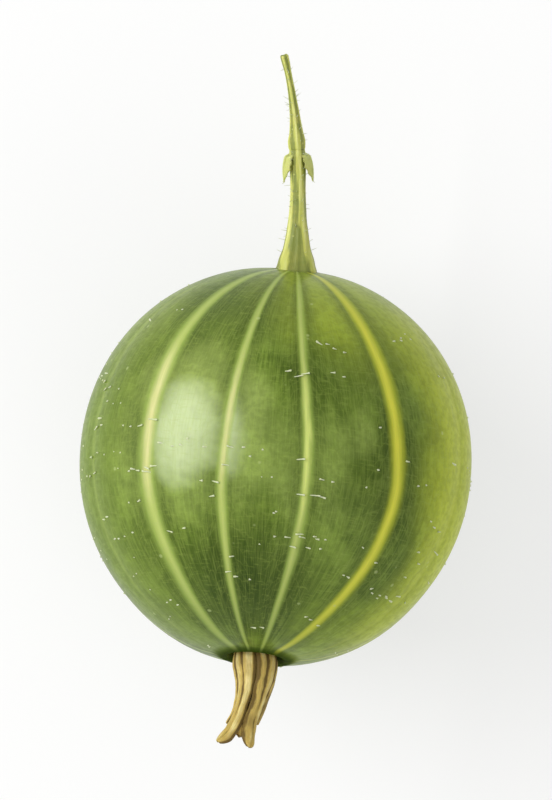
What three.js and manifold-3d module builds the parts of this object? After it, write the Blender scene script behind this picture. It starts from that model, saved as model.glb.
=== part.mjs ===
// A single ripe gooseberry as picked, lying on its side: the fruit, its short stalk with two bracts,
// and the withered flower that stays on the fruit's far end.
//
// Millimetres, +Z up. The origin is the middle of the small flat spot that the fruit lies on.
// +Y runs along the fruit towards its stalk, and the withered flower points towards -Y.

import * as THREE from "three";
import { mergeVertices } from "three/addons/utils/BufferGeometryUtils.js";
import Module from "manifold-3d";

// The fruit
const FRUIT_WIDTH = 25;
const FRUIT_LENGTH = 25.25;
const STALK_END_FULLNESS = 2.12; // exponent of the outline: 2 is an ellipse, and more has fuller shoulders
const FLOWER_END_FULLNESS = 2.0;
const FIRST_VEIN_DEG = -68; // veins are counted round the fruit from the top, towards +X
const VEIN_GAPS_DEG = [27.5, 25, 26, 29.5, 28, 26, 28, 28, 26, 28, 28, 30, 30]; // to the next vein
const RIB_DEPTH = 0.16; // how far the flesh swells between two veins
const END_RISE = 1.1; // how far both ends turn up from the fruit's middle
const STALK_DIMPLE_DEPTH = 0.1;
const FLOWER_DIMPLE_DEPTH = 0.35;
const DIMPLE_WIDTH = 2.4;
const LEAN_DEG = 6; // the fruit's line tilts by this much, with the flower end higher
const MIDDLE_HEIGHT = 12.2; // of the fruit's middle, a little less than its roundness so that it lies flat
const MIDDLE_ALONG = -0.5; // of it, along from the middle of the flat spot

// The stalk: the pedicel carries the fruit, and the peduncle below it joined the twig
const PEDICEL_LENGTH = 7.3;
const PEDUNCLE_LENGTH = 5.9;
const STALK_RADIUS = 0.5;
const FLARE_RADIUS = 1.24; // where the pedicel meets the fruit
const NODE_RADIUS = 0.53; // the swelling where the two halves meet
const THIN_RADIUS = 0.21; // of the peduncle, before its end
const PICKED_END_RADIUS = 0.27;

// The bracts, at the foot of the pedicel
const BRACT_LENGTH = 2.0;
const BRACT_WIDTH = 1.05;
const BRACT_THICKNESS = 0.2;
const BRACT_SPREAD_DEG = 4;

// The withered flower
const FLOWER_PARTS = 5; // of sepals, of petals and of stamens
const TUBE_LENGTH = 1.5;
const TUBE_RADIUS = 1.36;
const TUBE_WALL = 0.32;
const SEPAL_LENGTHS = [4.6, 2.9, 3.2, 2.3, 3.9]; // round the flower, starting left of its top
const SEPAL_FLICKS = [0.1, 0.05, 0.2, 0.05, 0.05]; // how far each tip turns out
const SEPAL_SWAYS = [0.1, 0, 0, 0, -0.55]; // how far each tip turns aside, to the left when above
const SEPAL_WIDTH = 1.24;
const SEPAL_THICKNESS = 0.26;
const TWIST_DEG = 6; // of the dry sepals, from foot to tip
const PETAL_LENGTH = 1.9;
const PETAL_WIDTH = 0.62;
const PETAL_THICKNESS = 0.18;
const STAMEN_LENGTH = 2.9;
const STAMEN_RADIUS = 0.09;
const ANTHER_RADIUS = 0.16;
const STYLE_LENGTH = 4.2;
const STYLE_RADIUS = 0.12;

const GAP = 0.3; // left between the fruit and what grows on it
const FINE_GAP = 0.15; // left between the small parts of the stalk and of the flower

const SEGMENTS_PER_RIB = 4;
const RINGS = 30;
const STALK_SIDES = 14;
const TUBE_SIDES = 30;
const THREAD_SIDES = 7;

const DEG = Math.PI / 180;
const TURN = 2 * Math.PI;

const wasm = await Module();
wasm.setup();

/** A closed mesh with shared vertices, so that manifold-3d can take it. */
function weld(geometry) {
  geometry.deleteAttribute("normal");
  geometry.deleteAttribute("uv");
  return mergeVertices(geometry, 1e-4);
}

/** The geometry as a manifold-3d solid. */
function toSolid(geometry) {
  const welded = weld(geometry.clone());
  return new wasm.Manifold(
    new wasm.Mesh({
      numProp: 3,
      vertProperties: welded.attributes.position.array,
      triVerts: new Uint32Array(welded.index.array),
    }),
  );
}

/** A manifold-3d solid as a geometry. */
function toGeometry(solid) {
  const { vertProperties, triVerts } = solid.getMesh();
  const geometry = new THREE.BufferGeometry();
  geometry.setAttribute("position", new THREE.BufferAttribute(vertProperties, 3));
  geometry.setIndex(new THREE.BufferAttribute(triVerts, 1));
  return geometry;
}

/** Moves every vertex of a geometry to where place(point) puts it. */
function reshape(geometry, place) {
  const positions = geometry.attributes.position;
  const point = new THREE.Vector3();
  for (let i = 0; i < positions.count; i++) {
    point.fromBufferAttribute(positions, i);
    positions.setXYZ(i, ...place(point).toArray());
  }
  return geometry;
}

/** Bends a geometry that stands along +Y so that it follows a curve instead. */
function bend(geometry, curve) {
  const length = curve.getLength();
  const up = new THREE.Vector3(0, 1, 0);
  return reshape(geometry, (point) => {
    const along = THREE.MathUtils.clamp(point.y, 0, length);
    const tangent = curve.getTangentAt(along / length);
    const turn = new THREE.Quaternion().setFromUnitVectors(up, tangent);
    return new THREE.Vector3(point.x, point.y - along, point.z)
      .applyQuaternion(turn)
      .add(curve.getPointAt(along / length));
  });
}

/** A round piece along +Y, from a list of [radius, height] that starts and ends on the axis. */
function turned(profile, sides) {
  return new THREE.LatheGeometry(
    profile.map(([radius, height]) => new THREE.Vector2(radius, height)),
    sides,
  );
}

/** A named mesh with its own material. */
function piece(name, geometry, color, roughness) {
  const material = new THREE.MeshStandardMaterial({ color, roughness, metalness: 0 });
  const mesh = new THREE.Mesh(weld(geometry), material);
  mesh.name = name;
  return mesh;
}

/** 0 below low, 1 above high, and a smooth step between them. */
const rise = (value, low, high) => THREE.MathUtils.smoothstep(value, low, high);

// ---- The fruit -----------------------------------------------------------------------------------

/** The fruit's line turns up towards both ends: its rise and its slope at a distance from the middle. */
const rising = (along) => END_RISE * (along / (FRUIT_LENGTH / 2)) ** 2;
const slope = (along) => Math.atan((2 * END_RISE * along) / (FRUIT_LENGTH / 2) ** 2);

/** A point beside the fruit's line, at a distance along it, to the right of it and above it. */
function besideLine(along, aside, above) {
  const tilt = slope(along);
  return new THREE.Vector3(aside, along - above * Math.sin(tilt), rising(along) + above * Math.cos(tilt));
}

/** How far from the fruit's centre its outline lies, at an angle from the stalk end. */
function outlineRadius(fromStalk) {
  const fullness = Math.cos(fromStalk) > 0 ? STALK_END_FULLNESS : FLOWER_END_FULLNESS;
  const across = Math.abs(Math.sin(fromStalk)) / (FRUIT_WIDTH / 2);
  const along = Math.abs(Math.cos(fromStalk)) / (FRUIT_LENGTH / 2);
  return (across ** fullness + along ** fullness) ** (-1 / fullness);
}

/** A point of the skin. The angle round the fruit is 0 on top and grows towards +X. */
function skinPoint(fromStalk, round, swell) {
  const reach = outlineRadius(fromStalk);
  const groove = RIB_DEPTH * (1 - swell) * Math.sin(fromStalk) ** 2;
  const radius = Math.max(reach * Math.sin(fromStalk) - groove, 0);
  const side = Math.sign(Math.cos(fromStalk));
  const deepest = side > 0 ? STALK_DIMPLE_DEPTH : FLOWER_DIMPLE_DEPTH;
  const height = reach * Math.cos(fromStalk) - side * deepest * Math.exp(-((radius / DIMPLE_WIDTH) ** 2));
  return besideLine(height, radius * Math.sin(round), radius * Math.cos(round));
}

/** The fruit with its shallow ribs, before the flat spot is cut. */
function ribbedFruit() {
  const columns = VEIN_GAPS_DEG.length * SEGMENTS_PER_RIB;
  const veins = [FIRST_VEIN_DEG];
  for (const gap of VEIN_GAPS_DEG) veins.push(veins[veins.length - 1] + gap);
  const sphere = new THREE.SphereGeometry(1, columns, RINGS);
  return reshape(sphere, (point) => {
    const fromStalk = Math.acos(THREE.MathUtils.clamp(point.y, -1, 1));
    const turn = (Math.atan2(point.z, -point.x) / TURN + 1) % 1; // SphereGeometry's own way round
    const column = Math.round(turn * columns) % columns;
    const rib = Math.floor(column / SEGMENTS_PER_RIB);
    const share = (column % SEGMENTS_PER_RIB) / SEGMENTS_PER_RIB;
    const round = THREE.MathUtils.lerp(veins[rib], veins[rib + 1], share) * DEG;
    return skinPoint(fromStalk, round, Math.sin(share * Math.PI) ** 0.7);
  });
}

/** Everything under the surface that the fruit lies on, seen from the leaning fruit. */
function groundUnder(fruitGroup) {
  const depth = FRUIT_LENGTH;
  fruitGroup.updateMatrix();
  return new THREE.BoxGeometry(3 * depth, 3 * depth, depth)
    .translate(0, 0, -depth / 2)
    .applyMatrix4(fruitGroup.matrix.clone().invert());
}

const fruitGroup = new THREE.Group();
fruitGroup.rotation.x = -LEAN_DEG * DEG;
fruitGroup.position.set(0, MIDDLE_ALONG, MIDDLE_HEIGHT);

const fruit = toSolid(ribbedFruit()).subtract(toSolid(groundUnder(fruitGroup)));
fruitGroup.add(piece("berry", toGeometry(fruit), 0x6f8a3f, 0.38));

/** A group that grows from an end of the fruit, side 1 or -1, with its own +Y away from the fruit. */
function growth(side, dimple) {
  const foot = side * (FRUIT_LENGTH / 2 - dimple);
  const group = new THREE.Group();
  group.rotation.set(slope(foot), 0, side > 0 ? 0 : Math.PI);
  group.position.copy(besideLine(foot, 0, 0)).add(new THREE.Vector3(0, GAP, 0).applyEuler(group.rotation));
  return group;
}

// ---- The stalk -----------------------------------------------------------------------------------

const stalkGroup = growth(1, STALK_DIMPLE_DEPTH);
fruitGroup.add(stalkGroup);

const stalkLength = PEDICEL_LENGTH + GAP + PEDUNCLE_LENGTH;
const stalkLine = new THREE.CubicBezierCurve3(
  new THREE.Vector3(0, 0, 0),
  new THREE.Vector3(-0.36, stalkLength * 0.36, 0.1),
  new THREE.Vector3(-0.63, stalkLength * 0.68, 0.3),
  new THREE.Vector3(-2.15, stalkLength * 0.98, 0.9),
);

const pedicel = turned(
  [
    [0, 0],
    [FLARE_RADIUS, 0],
    [FLARE_RADIUS * 0.91, 0.35],
    [FLARE_RADIUS * 0.77, 1.1],
    [FLARE_RADIUS * 0.63, 2.1],
    [STALK_RADIUS * 1.24, 3.2],
    [STALK_RADIUS, 5.0],
    [STALK_RADIUS, PEDICEL_LENGTH - 0.8],
    [NODE_RADIUS, PEDICEL_LENGTH - 0.3],
    [NODE_RADIUS * 0.9, PEDICEL_LENGTH],
    [0, PEDICEL_LENGTH],
  ],
  STALK_SIDES,
);
stalkGroup.add(piece("pedicel", bend(pedicel, stalkLine), 0xa9b85a, 0.55));

const peduncle = turned(
  [
    [0, 0],
    [NODE_RADIUS * 0.95, 0],
    [NODE_RADIUS * 1.05, 0.3],
    [STALK_RADIUS * 0.84, 0.9],
    [STALK_RADIUS * 0.62, 2.0],
    [THIN_RADIUS * 1.1, 3.4],
    [THIN_RADIUS, PEDUNCLE_LENGTH - 1.1],
    [PICKED_END_RADIUS, PEDUNCLE_LENGTH - 0.4],
    [PICKED_END_RADIUS * 0.8, PEDUNCLE_LENGTH],
    [0, PEDUNCLE_LENGTH],
  ],
  STALK_SIDES,
).translate(0, PEDICEL_LENGTH + GAP, 0);
stalkGroup.add(piece("peduncle", bend(peduncle, stalkLine), 0x9aa552, 0.6));

/** A small pointed scale, hollow towards the pedicel. */
function bract() {
  const blade = new THREE.BoxGeometry(BRACT_WIDTH, BRACT_LENGTH, BRACT_THICKNESS, 6, 8, 1);
  return reshape(blade, (point) => {
    const along = point.y / BRACT_LENGTH + 0.5;
    const outline = Math.max(Math.sin(Math.PI * (0.18 + 0.82 * along)) ** 0.75, 0.08);
    const x = point.x * outline;
    const cup = (x / BRACT_WIDTH) ** 2;
    const thinning = 1 - 0.45 * along;
    const bow = 0.25 * Math.sin(Math.PI * along);
    return new THREE.Vector3(x, along * BRACT_LENGTH, point.z * thinning + cup - bow);
  });
}

const bractFoot = PEDICEL_LENGTH - 0.2;
const stalkMiddle = stalkLine.getPointAt(bractFoot / stalkLine.getLength());
const stalkWay = stalkLine.getTangentAt(bractFoot / stalkLine.getLength());
for (const [name, side] of [
  ["bract_left", -1],
  ["bract_right", 1],
]) {
  const scale = piece(name, bract(), 0xb3c169, 0.6);
  const foot = new THREE.Group();
  foot.position.copy(stalkMiddle);
  foot.quaternion.setFromUnitVectors(new THREE.Vector3(0, 1, 0), stalkWay);
  foot.rotateY((side * Math.PI) / 2);
  foot.add(scale);
  scale.position.z = NODE_RADIUS + FINE_GAP + BRACT_THICKNESS / 2;
  scale.rotation.x = Math.PI - BRACT_SPREAD_DEG * DEG;
  stalkGroup.add(foot);
}

// ---- The withered flower ---------------------------------------------------------------------------

const flowerGroup = growth(-1, FLOWER_DIMPLE_DEPTH);
fruitGroup.add(flowerGroup);

const flowerLine = new THREE.CubicBezierCurve3(
  new THREE.Vector3(0, 0, 0),
  new THREE.Vector3(-0.35, 1.8, 0.1),
  new THREE.Vector3(0.2, 4.4, 0.2),
  new THREE.Vector3(1.4, 6.6, 0.4),
);

/** The short cup that the withered flower stands in, with a shallow fold under each sepal. */
function calyxTube() {
  const inner = TUBE_RADIUS - TUBE_WALL;
  const cup = turned(
    [
      [0, 0],
      [TUBE_RADIUS * 0.92, 0],
      [TUBE_RADIUS * 1.05, 0.35],
      [TUBE_RADIUS, 0.9],
      [TUBE_RADIUS * 0.98, TUBE_LENGTH],
      [inner, TUBE_LENGTH],
      [inner * 0.95, 1.0],
      [inner * 0.8, 0.5],
      [0, 0.45],
    ],
    TUBE_SIDES,
  );
  return reshape(cup, (point) => {
    const round = Math.atan2(point.x, point.z);
    const fold = 1 + 0.05 * Math.cos(FLOWER_PARTS * round);
    return point.clone().multiply(new THREE.Vector3(fold, 1, fold));
  });
}

flowerGroup.add(piece("calyx_tube", bend(calyxTube(), flowerLine), 0x9c7c40, 0.8));

/**
 * A strap that stands round the flower's middle line, from height foot, at an angle round it.
 * lane(along) gives its distance from that line, outline(along) its share of the full width, and
 * twist how much further round it its tip stands. sway moves the tip aside.
 */
function strap({ width, length, thickness, foot, round, twist = 0, sway = 0, lane, outline, rows }) {
  const blade = new THREE.BoxGeometry(width, length, thickness, 4, rows, 1);
  return reshape(blade, (point) => {
    const along = point.y / length + 0.5;
    const distance = lane(along);
    const angle = round + twist * along + (point.x * outline(along)) / distance;
    const radius = distance + point.z;
    const aside = radius * Math.sin(angle) + sway * along ** 4;
    return new THREE.Vector3(aside, foot + along * length, radius * Math.cos(angle));
  });
}

for (let i = 0; i < FLOWER_PARTS; i++) {
  const round = ((i + 0.5) / FLOWER_PARTS) * TURN;

  const sepal = strap({
    width: SEPAL_WIDTH,
    length: SEPAL_LENGTHS[i],
    thickness: SEPAL_THICKNESS,
    foot: TUBE_LENGTH + FINE_GAP,
    round,
    twist: (TWIST_DEG * DEG * SEPAL_LENGTHS[i]) / SEPAL_LENGTHS[0],
    sway: SEPAL_SWAYS[i],
    lane: (along) =>
      TUBE_RADIUS - TUBE_WALL / 2 - 0.26 * rise(along, 0, 0.7) + SEPAL_FLICKS[i] * along ** 5,
    outline: (along) => 1 - 0.28 * rise(along, 0, 0.7) - 0.4 * rise(along, 0.85, 1),
    rows: 14,
  });
  flowerGroup.add(piece(`sepal_${i + 1}`, bend(sepal, flowerLine), 0xb5904c, 0.85));

  const petal = strap({
    width: PETAL_WIDTH,
    length: PETAL_LENGTH,
    thickness: PETAL_THICKNESS,
    foot: TUBE_LENGTH - 0.6,
    round: round + Math.PI / FLOWER_PARTS,
    lane: () => TUBE_RADIUS - TUBE_WALL - FINE_GAP - PETAL_THICKNESS / 2,
    outline: (along) => 0.6 + 0.4 * Math.sin(Math.PI * Math.min(along * 1.1, 1)),
    rows: 5,
  });
  flowerGroup.add(piece(`petal_${i + 1}`, bend(petal, flowerLine), 0xc4a566, 0.85));

  const stamen = turned(
    [
      [0, 0],
      [STAMEN_RADIUS, 0],
      [STAMEN_RADIUS, STAMEN_LENGTH - 4 * ANTHER_RADIUS],
      [ANTHER_RADIUS, STAMEN_LENGTH - 3 * ANTHER_RADIUS],
      [ANTHER_RADIUS, STAMEN_LENGTH - ANTHER_RADIUS],
      [0, STAMEN_LENGTH],
    ],
    THREAD_SIDES,
  ).translate(0.46 * Math.sin(round), 0.8, 0.46 * Math.cos(round));
  flowerGroup.add(piece(`stamen_${i + 1}`, bend(stamen, flowerLine), 0x8a6530, 0.85));
}

/** The style: one thread that splits in two near its tip. */
function styleSolid() {
  const arms = [-1, 1].map((side) => {
    const thread = turned(
      [
        [0, 0],
        [STYLE_RADIUS, 0],
        ...[0.2, 0.4, 0.6, 0.7, 0.8, 0.9, 1].map((share) => [STYLE_RADIUS, share * STYLE_LENGTH]),
        [0, STYLE_LENGTH],
      ],
      THREAD_SIDES,
    ).translate(0, 0.6, 0);
    const parted = reshape(thread, (point) => {
      const spread = 0.035 + 0.34 * rise(point.y / STYLE_LENGTH, 0.72, 1.15);
      return point.clone().add(new THREE.Vector3(side * spread, 0, 0));
    });
    return toSolid(bend(parted, flowerLine));
  });
  return arms[0].add(arms[1]);
}

flowerGroup.add(piece("style", toGeometry(styleSolid()), 0x7d5a2b, 0.85));

const gooseberry = new THREE.Group();
gooseberry.add(fruitGroup);

export default gooseberry;
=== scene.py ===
"""The looks of a gooseberry as picked: its veined skin, its stalk and the withered flower at its tip."""

import logging
import math
import random
from dataclasses import dataclass, field
from enum import Enum
from typing import Callable, Sequence

import bmesh
import bpy
import numpy as np
from mathutils import Matrix, Vector, noise


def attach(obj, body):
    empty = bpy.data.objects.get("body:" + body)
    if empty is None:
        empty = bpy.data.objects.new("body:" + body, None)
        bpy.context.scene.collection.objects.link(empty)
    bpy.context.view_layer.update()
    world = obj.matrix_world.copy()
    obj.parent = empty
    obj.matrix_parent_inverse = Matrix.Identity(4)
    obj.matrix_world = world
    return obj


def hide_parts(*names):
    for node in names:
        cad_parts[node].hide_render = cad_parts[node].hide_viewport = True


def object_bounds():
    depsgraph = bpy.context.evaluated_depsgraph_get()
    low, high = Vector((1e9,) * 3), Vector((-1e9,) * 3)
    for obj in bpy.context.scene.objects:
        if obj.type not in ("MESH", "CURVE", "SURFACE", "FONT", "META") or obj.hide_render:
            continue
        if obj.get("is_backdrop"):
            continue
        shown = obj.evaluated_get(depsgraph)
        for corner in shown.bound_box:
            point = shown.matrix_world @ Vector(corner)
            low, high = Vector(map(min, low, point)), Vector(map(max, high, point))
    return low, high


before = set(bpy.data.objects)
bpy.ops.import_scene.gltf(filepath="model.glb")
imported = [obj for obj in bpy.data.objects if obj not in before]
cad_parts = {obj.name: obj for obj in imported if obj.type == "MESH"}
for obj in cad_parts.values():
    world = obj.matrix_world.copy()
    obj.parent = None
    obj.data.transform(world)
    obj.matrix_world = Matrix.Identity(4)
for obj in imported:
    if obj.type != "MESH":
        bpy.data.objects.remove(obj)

LOG = logging.getLogger("gooseberry")
MM = 0.001
TURN = 2 * math.pi
Socket = bpy.types.NodeSocket
Colour = tuple[float, float, float, float]
Radius = Callable[[np.ndarray, np.ndarray], np.ndarray]  # from height and angle
SkinFrame = tuple[np.ndarray, np.ndarray, np.ndarray, np.ndarray]


class Slot(Enum):
    """The finishes that the pieces take."""

    SKIN = "skin"
    STALK = "stalk"
    BRACT = "bract"
    DRY_CALYX = "dry_calyx"
    DRY_PETAL = "dry_petal"
    DRY_THREAD = "dry_thread"


class End(Enum):
    """The two ends of the fruit, by the sign of their side."""

    STALK = 1
    FLOWER = -1


# ---- Small sums ------------------------------------------------------------------------------------


def srgb(red: int, green: int, blue: int) -> Colour:
    """A colour as it is mixed on a screen, turned into the light it stands for.

    Args:
        red: From 0 to 255.
        green: From 0 to 255.
        blue: From 0 to 255.

    Returns:
        The colour in linear light, with full alpha.
    """
    parts = [channel / 255 for channel in (red, green, blue)]
    light = [part / 12.92 if part <= 0.04045 else ((part + 0.055) / 1.055) ** 2.4 for part in parts]
    return (light[0], light[1], light[2], 1.0)


def rise(value: np.ndarray | float, low: float, high: float) -> np.ndarray:
    """A smooth step from 0 at low to 1 at high.

    Args:
        value: Where to read the step.
        low: Where the step starts.
        high: Where the step ends.

    Returns:
        The step's height at each value.
    """
    share = np.clip((np.asarray(value, dtype=float) - low) / (high - low), 0, 1)
    return share * share * (3 - 2 * share)


def through(stations: Sequence[tuple[float, float]], where: np.ndarray) -> np.ndarray:
    """A smooth line through stations.

    Args:
        stations: Pairs of place and value, in rising order of place.
        where: The places to read.

    Returns:
        The value at each place, which never passes beyond its two nearest stations.
    """
    places = np.array([station[0] for station in stations], dtype=float)
    values = np.array([station[1] for station in stations], dtype=float)
    steps = np.diff(values) / np.diff(places)
    slopes = np.zeros_like(values)
    same_way = steps[:-1] * steps[1:] > 0
    both = np.where(same_way, steps[:-1] + steps[1:], 1)
    slopes[1:-1] = np.where(same_way, 2 * steps[:-1] * steps[1:] / both, 0)
    slopes[0], slopes[-1] = steps[0], steps[-1]
    where = np.clip(where, places[0], places[-1])
    at = np.clip(np.searchsorted(places, where, side="right") - 1, 0, len(places) - 2)
    width = places[at + 1] - places[at]
    share = (where - places[at]) / width
    start = (1 + 2 * share) * (1 - share) ** 2 * values[at] + share * (1 - share) ** 2 * width * slopes[at]
    finish = share**2 * (3 - 2 * share) * values[at + 1]
    return start + finish + share**2 * (share - 1) * width * slopes[at + 1]


def moved(points: np.ndarray, matrix: Matrix) -> np.ndarray:
    """The points after a matrix has moved them."""
    grid = np.array(matrix)
    return points @ grid[:3, :3].T + grid[:3, 3]


def lumps(points: np.ndarray, size: float, seed: float = 0) -> np.ndarray:
    """Smooth unevenness in space.

    Args:
        points: Where to read it, as (..., xyz).
        size: About how far apart the lumps are.
        seed: Moves the pattern, so that no two pieces share one.

    Returns:
        Values of about -1 to 1, one for each point.
    """
    flat = points.reshape(-1, 3) / size + seed * 7.31
    values = [noise.noise(Vector(point)) for point in flat]
    return np.array(values).reshape(points.shape[:-1])


class GrowthLine:
    """A smooth curve, read by the distance along it, that a straight piece is bent along."""

    def __init__(self, controls: Sequence[tuple[float, float, float]]) -> None:
        """Lays the curve out.

        Args:
            controls: The Bezier curve's control points, in millimetres.
        """
        share = np.linspace(0, 1, 401)[:, None]
        layer = [np.array(point, dtype=float) + 0 * share for point in controls]
        while len(layer) > 1:
            layer = [a * (1 - share) + b * share for a, b in zip(layer, layer[1:])]
        self.points = layer[0]
        steps = np.linalg.norm(np.diff(self.points, axis=0), axis=1)
        self.reach = np.concatenate([[0], np.cumsum(steps)])
        ways = np.gradient(self.points, self.reach, axis=0)
        self.ways = ways / np.linalg.norm(ways, axis=1)[:, None]

    @property
    def length(self) -> float:
        """The curve's whole length, in millimetres."""
        return float(self.reach[-1])

    def at(self, distance: np.ndarray) -> tuple[np.ndarray, np.ndarray]:
        """The curve's place and direction.

        Args:
            distance: How far along the curve, in millimetres.

        Returns:
            The points there, and the unit directions.
        """
        point = np.stack([np.interp(distance, self.reach, self.points[:, i]) for i in range(3)], axis=-1)
        way = np.stack([np.interp(distance, self.reach, self.ways[:, i]) for i in range(3)], axis=-1)
        return point, way / np.linalg.norm(way, axis=-1)[..., None]

    def bend(self, points: np.ndarray) -> np.ndarray:
        """Moves points that stand along +Y so that they follow the curve.

        Args:
            points: The straight piece's points, as (..., xyz).

        Returns:
            The bent piece's points.
        """
        along = np.clip(points[..., 1], 0, self.length)
        centre, way = self.at(along)
        across = points.copy()
        across[..., 1] -= along
        turn = np.cross(np.broadcast_to([0.0, 1.0, 0.0], way.shape), way)
        once = np.cross(turn, across)
        return centre + across + once + np.cross(turn, once) / (1 + way[..., 1:2])


# ---- Meshes ----------------------------------------------------------------------------------------


class Draft:
    """The points and faces of one piece, in millimetres, until it becomes an object."""

    def __init__(self) -> None:
        """Starts with nothing."""
        self.points: list[np.ndarray] = []
        self.grain: list[np.ndarray] = []
        self.relief: list[np.ndarray] = []
        self.marks: dict[str, np.ndarray] = {}
        self.faces: list[tuple[int, ...]] = []
        self.corners: list[tuple[float, float]] = []
        self.count = 0

    def loft(
        self,
        rings: np.ndarray,
        relief: np.ndarray | None = None,
        girth: float = 1.0,
        turns: np.ndarray | None = None,
    ) -> None:
        """Adds a closed skin over a stack of rings, with a fan over each end.

        Args:
            rings: The points, as (ring, point on the ring, xyz).
            relief: How high each point stands, from 0 in a fold to 1 on a ridge, as (ring, point).
            girth: The radius at which the piece's grain is laid out, in millimetres.
            turns: The surface's first coordinate at each point of a ring, and once more at its end.
        """
        stack, sides, _ = rings.shape
        if relief is None:
            relief = np.full((stack, sides), 0.5)
        if turns is None:
            turns = np.linspace(0, 1, sides + 1)
        middle = rings.mean(axis=1)
        reach = np.concatenate([[0], np.cumsum(np.linalg.norm(np.diff(middle, axis=0), axis=1))])
        angle = turns[:-1] / turns[-1] * TURN
        grain = np.empty_like(rings)
        grain[..., 0] = girth * np.cos(angle)
        grain[..., 1] = girth * np.sin(angle)
        grain[..., 2] = reach[:, None]
        ends = [0, -1]
        self.points += [rings.reshape(-1, 3), middle[ends]]
        self.grain += [grain.reshape(-1, 3), grain[ends].mean(axis=1)]
        self.relief += [relief.reshape(-1), relief[ends].mean(axis=1)]
        first = self.count
        self.count += stack * sides + 2
        height = np.linspace(0, 1, stack)
        for row in range(stack - 1):
            for side in range(sides):
                beside = (side + 1) % sides
                low, high = first + row * sides, first + (row + 1) * sides
                self.faces.append((low + side, low + beside, high + beside, high + side))
                left, right = turns[side], turns[side + 1]
                self.corners += [(left, height[row]), (right, height[row])]
                self.corners += [(right, height[row + 1]), (left, height[row + 1])]
        for tip, row in ((self.count - 2, 0), (self.count - 1, stack - 1)):
            for side in range(sides):
                low = first + row * sides
                pair = (low + (side + 1) % sides, low + side)
                self.faces.append((tip, *(pair if row == 0 else pair[::-1])))
                left, right = turns[side], turns[side + 1]
                ring = [(right, height[row]), (left, height[row])]
                self.corners += [((left + right) / 2, height[row]), *(ring if row == 0 else ring[::-1])]

    def finish(self, name: str, slot: Slot, material: bpy.types.Material, nodes: Sequence[str]) -> None:
        """Turns the draft into an object of the scene, which rides on the fruit.

        Args:
            name: The object's name.
            slot: Not used.
            material: Its material.
            nodes: The solids that it stands for.
        """
        points = np.concatenate(self.points) * MM
        mesh = bpy.data.meshes.new(name)
        mesh.from_pydata(points.tolist(), [], self.faces)
        layer = mesh.uv_layers.new(name="Surface")
        layer.data.foreach_set("uv", np.array(self.corners, dtype=np.float32).ravel())
        grain = mesh.attributes.new("grain", "FLOAT_VECTOR", "POINT")
        grain.data.foreach_set("vector", np.concatenate(self.grain).astype(np.float32).ravel())
        relief = mesh.attributes.new("relief", "FLOAT", "POINT")
        relief.data.foreach_set("value", np.concatenate(self.relief).astype(np.float32))
        for label, values in self.marks.items():
            mark = mesh.attributes.new(label, "FLOAT_VECTOR", "POINT")
            mark.data.foreach_set("vector", values.astype(np.float32).ravel())
        work = bmesh.new()
        work.from_mesh(mesh)
        bmesh.ops.recalc_face_normals(work, faces=work.faces)
        work.to_mesh(mesh)
        work.free()
        mesh.shade_smooth()
        mesh.materials.append(material)
        piece = bpy.data.objects.new(name, mesh)
        bpy.context.scene.collection.objects.link(piece)
        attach(piece, "root")
        if nodes:
            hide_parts(*nodes)
        LOG.info("%s: %d points, %d faces", name, len(mesh.vertices), len(mesh.polygons))


def tube(radius: Radius, heights: np.ndarray, sides: int) -> np.ndarray:
    """The rings of a round piece that stands along +Y.

    Args:
        radius: Gives the radius from arrays of height and of angle round the piece.
        heights: The height of each ring.
        sides: The number of points on a ring.

    Returns:
        The rings, as (ring, point, xyz).
    """
    angle = np.arange(sides) / sides * TURN
    tall, round_ = np.meshgrid(heights, angle, indexing="ij")
    reach = radius(tall, round_)
    return np.stack([reach * np.sin(round_), tall, reach * np.cos(round_)], axis=-1)


def hair(root: np.ndarray, way: np.ndarray, droop: np.ndarray, length: float, thick: float) -> np.ndarray:
    """The rings of one tapered hair with a slightly swollen foot.

    Args:
        root: Where it grows.
        way: The direction in which it leaves the skin.
        droop: How far its tip bends aside, as a vector.
        length: Its length.
        thick: Its radius above the foot.

    Returns:
        The rings, as (ring, point, xyz).
    """
    sides = 6
    shares = np.array([-0.12, 0.0, 0.07, 0.16, 0.42, 0.72, 0.93, 1.0])
    radii = thick * np.array([1.3, 1.4, 1.25, 1.0, 0.95, 0.8, 0.5, 0.15])
    side = np.cross(way, [0.31, 0.52, 0.79])
    side /= np.linalg.norm(side)
    other = np.cross(way, side)
    angle = np.arange(sides) / sides * TURN
    spokes = np.cos(angle)[:, None] * side + np.sin(angle)[:, None] * other
    spine = root + shares[:, None] * length * way + (np.maximum(shares, 0) ** 2)[:, None] * droop
    return spine[:, None, :] + radii[:, None, None] * spokes[None]


# ---- Node graphs -----------------------------------------------------------------------------------


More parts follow.
